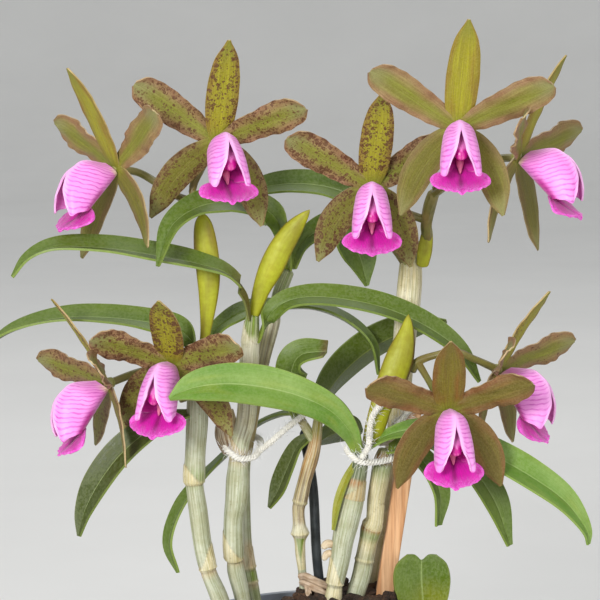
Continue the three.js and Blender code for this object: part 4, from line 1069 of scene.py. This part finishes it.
def side_lobes(bloom, put_at, seed):
    """Two lobes that rise from one floor and meet in a hood; their pale margins roll outwards."""
    def place(s, t):
        u, hand = abs(t), 1 if t >= 0 else -1
        a = LOBE_START + (in_table(LOBE_ENDS, 1, u) - LOBE_START) * s
        height, half, margin = (in_table(SIDE_LOBES, column, a) for column in (1, 2, 3))
        if u < LOBE_TURN:
            turn = u / LOBE_TURN * math.pi / 2
            x, rise = half * math.sin(turn), LOBE_TURN_RISE * (1 - math.cos(turn))
        else:
            turn = (u - LOBE_TURN) / (1 - LOBE_TURN) * math.pi / 2
            x = margin + (half - margin) * math.cos(turn) ** 0.85
            rise = LOBE_TURN_RISE + (1 - LOBE_TURN_RISE) * math.sin(turn)
        roll = soft_step(0.86, 1.0, u)
        x += LOBE_ROLL * roll * soft_step(0.3, 0.8, s)
        x += LOBE_FLARE * soft_step(0.82, 1.0, s) * soft_step(0.45, 0.8, u)
        x += 0.2 * roll * s * rough(9 * s, 5 * hand, seed)
        b = LOBE_FLOOR + (height - LOBE_FLOOR) * rise + 0.8 * roll
        b += 0.25 * u * u * rough(6 * s, 2 * hand, seed)
        return put_at(x * hand, a, b)

    def paint(s, t):
        u = abs(t)
        patch = patchy(5 * s, 3 * t, seed)
        tone = mix(rgb(240, 160, 226), rgb(226, 126, 208), patch)
        tone = mix(tone, rgb(214, 96, 194), 0.6 * soft_step(0.6, 0.2, u))
        tone = mix(tone, rgb(244, 186, 234), 0.7 * soft_step(0.86, 1.0, u))
        tone = mix(tone, rgb(240, 150, 224), 0.5 * soft_step(0.4, 0.1, s) * soft_step(0.5, 0.9, u))
        tone = mix(tone, rgb(190, 0, 145), 0.9 * soft_step(0.4, 0.6, s) * soft_step(0.42, 0.3, u))
        return mix(tone, rgb(236, 222, 170), 0.85 * soft_step(0.12, 0.0, s) * soft_step(0.8, 0.4, u))

    piece = sheet("side_lobes", *SIDE_LOBE_GRID, place, paint)
    return thicken(piece, LOBE_THICK, *SIDE_LOBE)


def front_lobe(bloom, put_at, seed):
    """Broad magenta end of the lip, with a softly waved edge and a small point in the middle."""
    def place(s, t):
        t = -t
        edge = max(abs(t), s)
        height, half = in_table(FRONT_LOBE, 1, s), in_table(FRONT_LOBE, 2, s)
        a = FRONT_LOBE_START + s * (FRONT_LOBE_LENGTH - 3.4 * abs(t) ** 2.4)
        a += 1.2 * hump(t, 0.14) * soft_step(0.7, 1, s)
        a += 0.14 * rough(16 * t, 3, seed) * soft_step(0.8, 1, s)
        frill = 0.25 * edge**4 * math.sin(19 * t + 7 * s + seed) + 0.4 * edge**2 * rough(4 * t, 4 * s, seed)
        lift = 0.9 * abs(t) * math.sin(4 * s + 1) - 1.1 * t * t - 0.5 * hump(t, 0.14)
        return put_at(half * t, a, height + lift + frill)

    def paint(s, t):
        edge = max(abs(t), s)
        tone = mix(rgb(196, 0, 150), rgb(208, 10, 166), patchy(4 * s, 4 * t, seed))
        tone = mix(tone, rgb(132, 0, 96), 0.85 * hump(t, 0.1) * soft_step(1, 0.7, s))
        tone = mix(tone, rgb(140, 0, 104), 0.6 * soft_step(0.3, 0.05, s))
        return mix(tone, rgb(224, 70, 196), 0.6 * soft_step(0.85, 1.0, edge))

    piece = sheet("front_lobe", *FRONT_LOBE_GRID, place, paint)
    return thicken(piece, LOBE_THICK, FRONT_FACE)


# Along, height and radius
COLUMN = [
    (1.6, 0, 1.7), (6, 3.4, 2.4), (10, 6.2, 2.9), (14, 7.7, 3.1), (18, 8.2, 3.1), (20.6, 8.1, 2.7),
    (22.4, 7.6, 1.8), (23.2, 7.1, 0.9),
]
CALLUS = [(14, 0.2, 1.4), (18.4, 0.6, 1.8), (20.6, 0.3, 1.2), (23.4, -0.3, 0.35)]


def lip_core(bloom, put_at):
    """The column with its cap, and the ridged callus on the floor of the throat."""
    right = bloom_axes(bloom)[0]
    above = put_at(0, 0, 1) - put_at(0, 0, 0)

    def cap_paint(s, t):
        """Pink above, with a magenta cap of two lobes at the end."""
        side = math.cos(math.pi * t)
        start = 0.71 - 0.05 * hump(abs(side) - 0.45, 0.25) + 0.03 * hump(side, 0.2)
        tone = mix(rgb(240, 170, 224), rgb(230, 130, 204), soft_step(0.3, 0.66, s))
        tone = mix(tone, rgb(190, 4, 140), soft_step(start - 0.02, start + 0.03, s))
        pad = hump(abs(side) - 0.4, 0.22) * soft_step(0.82, 0.9, s)
        return mix(tone, rgb(232, 130, 182), 0.7 * pad)

    line = [[*put_at(0, a, b), radius] for a, b, radius in COLUMN]
    column = tube("column", line, 30, 24, lambda s, turn, size: (size * 1.08, size * 0.85), cap_paint, above)
    line = [[*put_at(0, a, b), radius] for a, b, radius in CALLUS]
    ridge = tube("callus", line, 22, 16,
                 lambda s, turn, size: (size * (1 + 0.16 * math.cos(4 * turn)), size * 0.8),
                 lambda s, t: mix(rgb(214, 60, 140), rgb(232, 140, 170), soft_step(0.2, 0.5, s)), right)
    return [dress(column, COLUMN_FLESH), dress(ridge, COLUMN_FLESH)]


def lip_piece(number, bloom):
    put_at = lip_frame(bloom)
    parts = [side_lobes(bloom, put_at, 3.7 * number), front_lobe(bloom, put_at, 2.3 * number)]
    parts += lip_core(bloom, put_at)
    finish_piece(joined(f"lip_petal_{number}", parts), "lip", f"lip_{number}")


for index, bloom in enumerate(BLOOMS):
    bloom_piece(index + 1, bloom)
    lip_piece(index + 1, bloom)


# Leaves
LEAF_TONES = {
    "leaf_1": "purple", "leaf_7": "purple", "leaf_8": "pale", "leaf_11": "dark", "leaf_13": "pale",
    "leaf_14": "brown tip", "leaf_17": "old", "leaf_18": "yellow", "leaf_19": "dark",
}


def leaf_piece(name, line, face, notch=0):
    points = stations(line)
    seed = 7.0 + 3.1 * int(number_of(name))
    start, end = stations(face)

    def place(s, t):
        here, ahead, half = spot_on(points, s)
        half = max(0.5, half)
        look = mix(start, end, s)
        side = ahead.cross(look).normalized()
        up = side.cross(ahead).normalized()
        edge = abs(t)
        fold = LEAF_FOLD * half * (edge**1.5 * 0.8 + 0.2 * edge) - 0.25 * hump(t, 0.1)
        wave = 0.35 * edge**2 * rough(5 * s, 2 * t, seed) * min(1, half / 4)
        back = notch * hump(t, 0.3) * soft_step(0.6, 1, s)
        return here + side * half * t + up * (fold + wave) - ahead * back

    kind = LEAF_TONES.get(name, "green")

    def paint(s, t):
        patch = patchy(3 * s, 1.5 * t, seed)
        tone = mix(rgb(74, 98, 18), rgb(102, 122, 38), patch)
        if kind == "pale":
            tone = mix(rgb(94, 136, 40), rgb(128, 156, 76), soft_step(0.2, 0.8, patch))
            tone = mix(tone, rgb(150, 158, 60), 0.3 * soft_step(0.55, 0.8, patchy(7 * s, 3 * t, seed + 5)))
        tone = mix(tone, rgb(140, 156, 50), 0.8 * soft_step(0.14, 0.0, s))
        if kind == "purple":
            tone = mix(tone, rgb(112, 84, 60), 0.75 * soft_step(0.34, 0.06, s))
        if kind == "old":
            tone = mix(tone, rgb(176, 170, 60), 0.75 * soft_step(0.75, 0.2, s + 0.25 * patch))
        if kind == "yellow":
            tone = mix(tone, rgb(150, 146, 36), 0.9)
        if kind == "brown tip":
            tone = mix(tone, rgb(96, 66, 48), 0.8 * soft_step(0.9, 1.0, s + 0.06 * (patch - 0.5)))
        if kind == "dark":
            tone = mix(tone, rgb(58, 66, 8), 0.85)
        return tone

    piece = sheet("blade_" + number_of(name), *BLADE_GRID, place, paint)
    finish_piece(thicken(piece, LEAF_THICK, *BLADE), "leaf", name)


for name, shape in LEAVES.items():
    leaf_piece(name, **shape)


# Canes
STRAW, CREAM, WHITE_STRAW = rgb(182, 188, 162), rgb(226, 214, 172), rgb(232, 226, 202)
GREEN, BRIGHT_GREEN, DARK_GREEN = rgb(150, 166, 108), rgb(122, 148, 24), rgb(62, 84, 20)
RUST, TAN, BROWN_STRAW = rgb(176, 116, 42), rgb(206, 184, 150), rgb(196, 172, 122)
GOLD, OLIVE = rgb(180, 124, 30), rgb(146, 134, 10)
# Where a dry sheath is striped with brown, as heights, and how strongly
STRIPES = {
    "cane_1": (178, 194, 0.3), "cane_2": (156, 182, 0.75), "cane_3": (180, 210, 0.7),
    "cane_4": (122, 162, 0.8), "cane_6": (104, 124, 0.35), "cane_7": (120, 232, 0.35),
}
CANE_TONES = {
    "cane_1": [(70, STRAW), (104, STRAW), (108, TAN), (112, STRAW), (140, STRAW), (147, GREEN), (152, STRAW),
               (176, STRAW), (186, GREEN), (194, BRIGHT_GREEN)],
    "cane_2": [(70, STRAW), (106, STRAW), (110.5, TAN), (112, STRAW), (148, STRAW), (154, TAN), (158, STRAW),
               (170, WHITE_STRAW), (200, WHITE_STRAW), (204, BRIGHT_GREEN), (212, BRIGHT_GREEN)],
    "cane_3": [(70, TAN), (94, GREEN), (98, TAN), (99, BRIGHT_GREEN), (103, BRIGHT_GREEN), (104.5, TAN),
               (112, TAN), (118, STRAW), (146, STRAW), (152, BROWN_STRAW), (176, BROWN_STRAW), (184, CREAM),
               (209, WHITE_STRAW), (211, GREEN), (230, GREEN)],
    "cane_4": [(70, BROWN_STRAW), (108, STRAW), (113, BRIGHT_GREEN), (119, BRIGHT_GREEN), (120, WHITE_STRAW),
               (124, WHITE_STRAW), (127, TAN), (134, TAN), (138, BROWN_STRAW), (147, GOLD), (158, GOLD),
               (164, OLIVE), (170, OLIVE)],
    "cane_5": [(70, STRAW), (100, CREAM), (104, STRAW), (141, STRAW), (145, RUST), (147, DARK_GREEN),
               (158, DARK_GREEN)],
    "cane_6": [(70, STRAW), (110, STRAW), (118, CREAM), (121, GREEN), (125, RUST), (127, CREAM), (142, CREAM),
               (150, GREEN), (153, RUST), (158, GREEN)],
    "cane_7": [(70, CREAM), (118, CREAM), (122, WHITE_STRAW), (160, CREAM), (210, WHITE_STRAW), (226, CREAM),
               (240, GREEN)],
}
CANE_RINGS = {
    "cane_1": [109, 144.5], "cane_2": [111.3, 153], "cane_3": [98, 104, 209.5], "cane_4": [104, 121, 134],
    "cane_5": [103], "cane_6": [111, 125.5], "cane_7": [120],
}
# Dry sheaths that end in a point above a ring: height of the ring, side that the point is on in degrees
# from the right round the front, how far it reaches up, and colour
COLLARS = {
    "cane_1": [(109, 10, 10, CREAM), (143.5, 170, 8, CREAM)],
    "cane_2": [(111.3, 185, 11, CREAM), (153, 160, 7, TAN), (199, 190, 9, WHITE_STRAW)],
    "cane_3": [(104, 0, 9, TAN)],
    "cane_5": [(103, 170, 11, CREAM), (138, 20, 8, BROWN_STRAW)],
    "cane_6": [(126, 40, 9, CREAM)],
    "cane_7": [(120, 60, 10, CREAM)],
}


def tone_at(tones, height):
    for (low, first), (high, second) in zip(tones, tones[1:]):
        if height <= high:
            return mix(first, second, soft_step(low, high, height))
    return tones[-1][1]


def cane_piece(name, line):
    points = stations(line)
    rings, tones, collars = CANE_RINGS[name], CANE_TONES[name], COLLARS.get(name, [])
    seed = 3.3 * int(number_of(name))
    rows = 20 * len(line)

    def collar_at(height, turn):
        """The collar that covers a point, and how far the point is below its slanted edge."""
        for ring, side, rise, tone in collars:
            lean = 0.5 + 0.5 * math.cos(turn - math.radians(side))
            below = ring + rise * lean**1.6 - height
            if height > ring and below > -1:
                return below, tone
        return -1, None

    def width(s, turn, size):
        height = on_line(points, s).z
        around = 1.7 * math.cos(turn), 1.7 * math.sin(turn)
        ribs = RIB * math.sin(9 * turn + 3 * rough(4 * s, 0, seed)) * rough(*around, 9 * s)
        ridge = sum(RING * hump(height - ring, 0.5) for ring in rings)
        groove = sum(GROOVE * hump(height - ring + 1.2, 0.5) for ring in rings)
        collar = COLLAR * soft_step(-0.2, 0.2, collar_at(height, turn)[0])
        return (size + ribs + ridge - groove + collar,) * 2

    def paint(s, t):
        turn = math.pi * t
        height = on_line(points, s).z
        patch = patchy(2 * math.cos(turn), 2 * math.sin(turn), 7 * s + seed)
        tone = mix(tone_at(tones, height), GREEN, 0.35 * soft_step(0.5, 0.9, patch))
        low, high, strength = STRIPES.get(name, (0, 1, 0))
        if low < height < high:
            streak = rough(4.2 * math.cos(turn), 4.2 * math.sin(turn), 5 * s + seed)
            ends = soft_step(low, low + 5, height) * soft_step(high, high - 5, height)
            tone = mix(tone, rgb(104, 76, 38), strength * ends * soft_step(0.02, 0.3, streak))
            tone = mix(tone, CREAM, 0.6 * strength * ends * soft_step(-0.12, -0.4, streak))
        if name == "cane_4" and 106 < height < 121:
            window = 0.75 * soft_step(107, 120, height)
            tone = mix(CREAM, tone, soft_step(window + 0.12, window - 0.12, abs(turn - math.pi / 2)))
        below, collar = collar_at(height, turn)
        if collar:
            tone = mix(tone, collar, soft_step(-0.2, 0.2, below))
            tone = mix(tone, rgb(132, 106, 66), 0.5 * hump(below, 0.35))
        for ring in rings:
            tone = mix(tone, CREAM, 0.7 * hump(height - ring, 0.7))
            tone = mix(tone, rgb(110, 88, 56), 0.4 * hump(height - ring + 1.1, 0.4))
        return tone

    parts = [tube(name, line, rows, CANE_COLUMNS, width, paint)]
    if name == "cane_4":
        parts.append(tube("neck", NECK, 16, 16, even,
                          lambda s, t: mix(GREEN, BROWN_STRAW, s)))
    for part in parts:
        dress(part, CANE_SHEATH)
    if name == "cane_2":
        parts.append(dry_bract())
    if name == "cane_5":
        for tip in ROOT_TIPS:
            nub = tube("root_tip", tip, 14, 14, even,
                       lambda s, t: mix(rgb(206, 184, 150), rgb(232, 222, 200), s), UP)
            parts.append(dress(nub, ROOT_SKIN))
    finish_piece(joined("stem_" + number_of(name), parts), "cane", name)


def dry_bract():
    """A torn brown sheath that stands off the left side of cane 2, above its tie."""
    foot, tip = Vector((-39.6, 0.4, 154.5)), Vector((-41.2, 1.2, 172))

    def place(s, t):
        here = mix(foot, tip, s)
        half = 1.6 + 3.2 * math.sin(math.pi * min(1, 0.15 + 0.8 * s))
        curl = 1.6 * t * t * half / 4
        bow = 1.2 * math.sin(math.pi * s)
        return here + Vector((half * t - bow, curl + 0.5 * rough(4 * s, 3 * t), 0.6 * t))

    def paint(s, t):
        patch = patchy(6 * s, 4 * t, 3)
        return mix(rgb(120, 84, 50), rgb(186, 158, 112), soft_step(0.4, 0.8, patch + 0.3 * t))

    return thicken(sheet("bract", *BRACT_GRID, place, paint), BRACT_THICK, CANE_SHEATH)


for name, line in CANES.items():
    cane_piece(name, line)


# Sheaths and flower stalks
def spathe_piece(name, line):
    seed = 5.1 * int(number_of(name))

    def width(s, turn, size):
        return size * 1.06, size * SPATHE_FLAT * abs(math.sin(turn)) ** 0.7

    def paint(s, t):
        side = math.cos(math.pi * t)
        patch = patchy(4 * s, side, seed)
        tone = mix(rgb(180, 180, 30), rgb(150, 160, 24), patch)
        brown = 0.75 if name == "spathe_1" else 0.35
        tone = mix(tone, rgb(128, 98, 30), brown * soft_step(0.45, 0.8, patch))
        tone = mix(tone, rgb(112, 86, 30), 0.7 * soft_step(0.8, 1.0, abs(side)))
        if name == "spathe_4":
            tone = mix(tone, rgb(70, 40, 18), 0.9 * soft_step(0.7, 0.98, side) * soft_step(0.35, 0.6, s))
        return mix(tone, rgb(120, 110, 40), 0.6 * soft_step(0.92, 1.0, s))

    piece = tube("sheath_" + number_of(name), line, *SPATHE_GRID, width, paint)
    finish_piece(dress(piece, SPATHE_FLESH), "spathe", name)


def stalk_piece(name, lines):
    seed = 2.9 * int(number_of(name))
    parts = []
    for k, line in enumerate(lines):
        def width(s, turn, size):
            grooves = 1 + 0.07 * math.cos(6 * turn + 5 * s)
            return size * grooves, size * grooves

        def paint(s, t):
            patch = patchy(5 * s, math.cos(math.pi * t), seed + k)
            tone = mix(rgb(112, 116, 48), rgb(134, 112, 66), patch)
            return mix(tone, rgb(156, 150, 84), 0.7 * soft_step(0.6, 1, s))

        branch = tube("branch", line, 12 * len(line), 16, width, paint, Vector((0, 0.3, 1)))
        parts.append(dress(branch, STALK_FLESH))
    finish_piece(joined("stalk_stem_" + number_of(name), parts), "flower_stalk", name)


for name, line in SPATHES.items():
    spathe_piece(name, line)
for name, lines in STALKS.items():
    stalk_piece(name, lines)


# Twine
def strand(line, closed, phase, turns):
    points = stations(line)
    rows = (26 if closed else 20) * len(line)

    def place(s, t):
        here, ahead, _ = spot_on(points, s % 1 if closed else s, closed)
        side = ahead.cross(UP).normalized()
        front = side.cross(ahead).normalized()
        twist = phase + 2 * math.pi * turns * s
        middle = here + (side * math.cos(twist) + front * math.sin(twist)) * STRAND_OFFSET
        turn = math.pi * t
        thick = STRAND_RADIUS * (1 + 0.22 * rough(40 * s, phase))
        if not closed:
            end = min(s, 1 - s) * rows
            thick *= 0.0 if end < 0.5 else (0.6 if end < 1.5 else 1)
        return middle + side * thick * math.cos(turn) + front * thick * math.sin(turn)

    return sheet("strand", rows, 10, place, wrap=True)


def tie_piece(name, turns, runs):
    draw = random.Random(11 + int(name[-1]))
    lines = [(line, True) for line in turns] + [(line, False) for line in runs]
    parts = []
    for line, closed in lines:
        for k in range(STRANDS):
            phase = 2 * math.pi * k / STRANDS
            parts.append(dress(strand(line, closed, phase, 2 * len(line)), TWINE))
    hair_line = [[0, 0, 0, 0.09], [0.3, 0.5, 1, 0.08], [0.2, 1.4, 1.8, 0.06], [-0.3, 2, 3, 0.03]]
    hair = tube("hair", hair_line, 5, 3, even)
    for line, closed in lines:
        points = stations(line)
        for _ in range(HAIRS * len(line)):
            here = spot_on(points, draw.random(), closed)[0]
            spin, lean = draw.uniform(0, 2 * math.pi), draw.uniform(0, math.pi)
            turn = Matrix.Rotation(spin, 4, "Z") @ Matrix.Rotation(lean, 4, "X")
            foot = here + turn.to_3x3() @ Vector((0, 0, 1.2))
            size = draw.uniform(0.3, 1.0) ** 2 + 0.3
            parts.append(copied(hair, Matrix.Translation(foot * MM) @ turn @ Matrix.Scale(size, 4)))
    bpy.data.objects.remove(hair)
    finish_piece(joined("twine_" + name[-1], parts), "twine", name)


for name, shape in TIES.items():
    tie_piece(name, **shape)


# Stake, stick and roots
def stake_piece():
    start, end = Vector(STAKE[0]), Vector(STAKE[1])
    ahead = (end - start).normalized()
    side = ahead.cross(FRONT).normalized()
    front = side.cross(ahead).normalized()
    deselect()
    bpy.ops.mesh.primitive_cube_add(size=1)
    piece = bpy.context.object
    edit_all((bpy.ops.mesh.subdivide, {"number_cuts": 5}))
    for corner in piece.data.vertices:
        x, y, z = corner.co
        here = mix(start, end, z + 0.5)
        bow = 0.12 * rough(3 * z, 4 * x, 5)
        corner.co = (here + side * (STAKE_WIDTH * x + bow) + front * (STAKE_WIDTH * y + bow)) * MM
    apply_modifier(piece, "BEVEL", width=0.5 * MM, segments=2, limit_method="ANGLE")
    piece.name = "wooden_stake"
    finish_piece(dress(piece, STAKE_WOOD), "stake_wood", "stake")


def stick_piece():
    line = [[*p, STICK_RADIUS] for p in STICK]
    def width(s, turn, size):
        return size * (1 + 0.02 * math.sin(3 * turn)), size

    piece = tube("dark_stick", line, 40, 20, width)
    finish_piece(dress(piece, STICK_PLASTIC), "stick_plastic", "support_stick")


def roots_piece():
    parts = []
    for k, line in enumerate(ROOTS):
        def width(s, turn, size):
            grooves = 0.06 * math.cos(5 * turn + 2 * rough(3 * s, k))
            lump = 1 + 0.09 * rough(9 * s, math.cos(turn), k) + grooves
            return size * lump, size * lump

        def paint(s, t):
            patch = patchy(8 * s, math.cos(math.pi * t), k)
            groove = soft_step(0.5, 0.9, 0.5 + 0.5 * math.cos(5 * math.pi * t + 2 * rough(3 * s, k)))
            tone = mix(rgb(220, 206, 188), rgb(178, 150, 122), patch)
            return mix(tone, rgb(120, 92, 66), 0.55 * groove)

        parts.append(dress(tube("root", line, *ROOT_GRID, width, paint, Vector((0, 0.2, 1))), ROOT_SKIN))
    finish_piece(joined("roots_on_bark", parts), "root", "roots")


stake_piece()
stick_piece()
roots_piece()


# Pot and bark
def wall_radius(height):
    slope = (POT_TOP_RADIUS - POT_RIM_STEP - POT_BASE_RADIUS) / (POT_HEIGHT - POT_RIM_DEPTH)
    return POT_BASE_RADIUS + slope * height


def pot_piece():
    """A ring is raised and widened step by step up the outside, over the rim and down the inside."""
    rim_foot = POT_HEIGHT - POT_RIM_DEPTH
    inner_top = wall_radius(POT_HEIGHT) - POT_WALL
    profile = [
        (POT_BASE_RADIUS - 1.4, 0), (POT_BASE_RADIUS - 0.4, 0.3), (POT_BASE_RADIUS, 1.2),
        (wall_radius(20), 20), (wall_radius(40), 40), (wall_radius(58), 58),
        (wall_radius(rim_foot) - 0.1, rim_foot - 0.5), (wall_radius(rim_foot) + 0.3, rim_foot),
        (POT_TOP_RADIUS - 0.5, rim_foot), (POT_TOP_RADIUS, rim_foot + 0.5),
        (POT_TOP_RADIUS, POT_HEIGHT - 0.9), (POT_TOP_RADIUS - 0.3, POT_HEIGHT - 0.25),
        (POT_TOP_RADIUS - 0.9, POT_HEIGHT), (inner_top + 0.7, POT_HEIGHT),
        (inner_top + 0.15, POT_HEIGHT - 0.3), (inner_top, POT_HEIGHT - 1.1), (wall_radius(40) - POT_WALL, 40),
        (wall_radius(4) - POT_WALL, POT_WALL + 1), (wall_radius(3) - POT_WALL - 1.2, POT_WALL),
    ]

    def raise_wall():
        for (radius, height), (wider, higher) in zip(profile, profile[1:]):
            bpy.ops.mesh.extrude_region_move(TRANSFORM_OT_translate={"value": (0, 0, (higher - height) * MM)})
            scale = wider / radius
            bpy.ops.transform.resize(value=(scale, scale, 1), center_override=(0, 0, higher * MM))

    deselect()
    bpy.ops.mesh.primitive_circle_add(vertices=POT_SIDES, radius=profile[0][0] * MM, fill_type="NGON")
    piece = bpy.context.object
    edit_all((raise_wall, {}), FACE_OUT)
    for k in range(DRAIN_HOLES):
        turn = 2 * math.pi * k / DRAIN_HOLES
        deselect()
        bpy.ops.mesh.primitive_cylinder_add(
            vertices=24, radius=DRAIN_RADIUS * MM, depth=12 * MM,
            location=(DRAIN_CIRCLE * math.cos(turn) * MM, DRAIN_CIRCLE * math.sin(turn) * MM, 0),
        )
        drill = bpy.context.object
        apply_modifier(piece, "BOOLEAN", operation="DIFFERENCE", object=drill)
        bpy.data.objects.remove(drill)
    piece.name = "plastic_pot"
    finish_piece(dress(piece, POT_PLASTIC), "pot_plastic", "pot", angle=30)


def bark_level(x, y):
    away = math.hypot(x - BARK_HEAP_AT[0], y - BARK_HEAP_AT[1])
    return BARK_EDGE + BARK_HEAP * soft_step(0, BARK_HEAP_REACH - BARK_HEAP_FLAT, BARK_HEAP_REACH - away)


def bark_chip():
    """One chip of bark: a flat block with broken, worn edges."""
    deselect()
    bpy.ops.mesh.primitive_cube_add(size=1)
    chip = bpy.context.object
    for corner in chip.data.vertices:
        x, y, z = corner.co
        long = x * CHIP_SIZE[0] + 1.2 * rough(3 * x, 2 * y, 7 * z)
        wide = y * CHIP_SIZE[1] + 0.9 * rough(5 * x, 3, 4 * z)
        corner.co = Vector((long, wide, z * CHIP_SIZE[2])) * MM
    apply_modifier(chip, "BEVEL", width=0.7 * MM, segments=1)
    chip.data.attributes.new("paint", "FLOAT_COLOR", "POINT")
    return chip


def bark_piece():
    """A bed of medium under a heap of loose chips."""
    inner = wall_radius(BARK_EDGE) - POT_WALL - 0.5
    foot = wall_radius(POT_WALL) - POT_WALL - 0.5
    lowest, bed_edge = POT_WALL + 0.4, BARK_EDGE - 2.5
    floor_share, wall_share = 0.12, 0.08

    def place(s, t):
        turn = math.pi * t
        up = (s - floor_share) / wall_share
        if s < floor_share:
            radius, height = foot * s / floor_share, lowest
        elif s < 0.2:
            radius, height = mix(foot, inner, up), mix(lowest, bed_edge, up)
        else:
            radius = inner * (1 - s) / 0.8
            x, y = radius * math.cos(turn), radius * math.sin(turn)
            height = bark_level(x, y) - 2.5 + 1.2 * rough(x / 6, y / 6, 3)
        return Vector((radius * math.cos(turn), radius * math.sin(turn), height))

    bed = sheet("bed", *BED_GRID, place, lambda s, t: Vector((0.5, 0.5, 0.5)), wrap=True)
    parts = [dress(bed, BARK)]
    chip = bark_chip()
    draw = random.Random(5)
    while len(parts) <= BARK_CHIPS:
        x, y = draw.uniform(-BARK_WIDEST, BARK_WIDEST), draw.uniform(-BARK_WIDEST, BARK_WIDEST)
        if math.hypot(x, y) > inner - 4.5:
            continue
        if math.hypot(x + 9, y + 8) < 8 and draw.random() < 0.7:
            continue
        lean = 26 if len(parts) > 211 else 14
        turn = (
            Matrix.Rotation(draw.uniform(0, 2 * math.pi), 4, "Z")
            @ Matrix.Rotation(math.radians(draw.gauss(0, lean)), 4, "X")
            @ Matrix.Rotation(math.radians(draw.gauss(0, lean)), 4, "Y")
        )
        size = Matrix.Diagonal((draw.uniform(0.5, 1.25), draw.uniform(0.55, 1.25), draw.uniform(0.6, 1.4), 1))
        height = bark_level(x, y) + draw.uniform(-2.2, 0.6)
        copy = copied(chip, Matrix.Translation(Vector((x, y, height)) * MM) @ turn @ size)
        shade, warm = draw.uniform(0.55, 1.35), draw.uniform(0.9, 1.12)
        for value in copy.data.attributes["paint"].data:
            value.color = (shade * warm, shade, shade / warm, 1)
        parts.append(dress(copy, BARK))
    bpy.data.objects.remove(chip)
    finish_piece(joined("bark_medium", parts), "bark", "bark")


pot_piece()
bark_piece()


# Floor and light
MIDDLE = Vector((0, 0, 0.2))


def floor():
    """A pale paper floor that curves up far behind and all round, with no edge in view."""
    flat, bend = 3.2, 1.6

    def raise_edge():
        radius, height = flat, 0.0
        for k in range(1, 10):
            turn = k * math.pi / 18
            wider, higher = flat + bend * math.sin(turn), bend * (1 - math.cos(turn))
            bpy.ops.mesh.extrude_edges_move(TRANSFORM_OT_translate={"value": (0, 0, higher - height)})
            scale = wider / radius
            bpy.ops.transform.resize(value=(scale, scale, 1), center_override=(0, 0, higher))
            radius, height = wider, higher

    deselect()
    bpy.ops.mesh.primitive_circle_add(vertices=96, radius=flat, fill_type="NGON")
    ground = bpy.context.object
    ground.name = "floor"
    edit_all((bpy.ops.mesh.select_mode, {"type": "EDGE"}), (raise_edge, {}))
    smooth(ground)
    f = Finish("floor_paper", 0.85)
    f.tone = f.blend(f.clouds(3.0, 0.0), rgb(222, 221, 218), rgb(228, 227, 224))
    dress(ground, f.done())


def lamp(name, place, size, power):
    bpy.ops.object.light_add(type="AREA", location=place)
    light = bpy.context.object
    light.name = name
    light.data.energy = power
    light.data.size = size
    light.rotation_euler = (MIDDLE - Vector(place)).to_track_quat("-Z", "Y").to_euler()


floor()
lamp("key", (-0.7, -1.6, 0.75), 0.5, 28)
lamp("fill", (0.9, -1.5, 0.55), 0.8, 9)
lamp("top", (0.2, 0.9, 1.5), 0.8, 6)
world = bpy.data.worlds.new("studio")
bpy.context.scene.world = world
world.use_nodes = True
sky = world.node_tree.nodes["Background"].inputs
sky["Color"].default_value = (0.86, 0.88, 0.9, 1)
sky["Strength"].default_value = 0.66
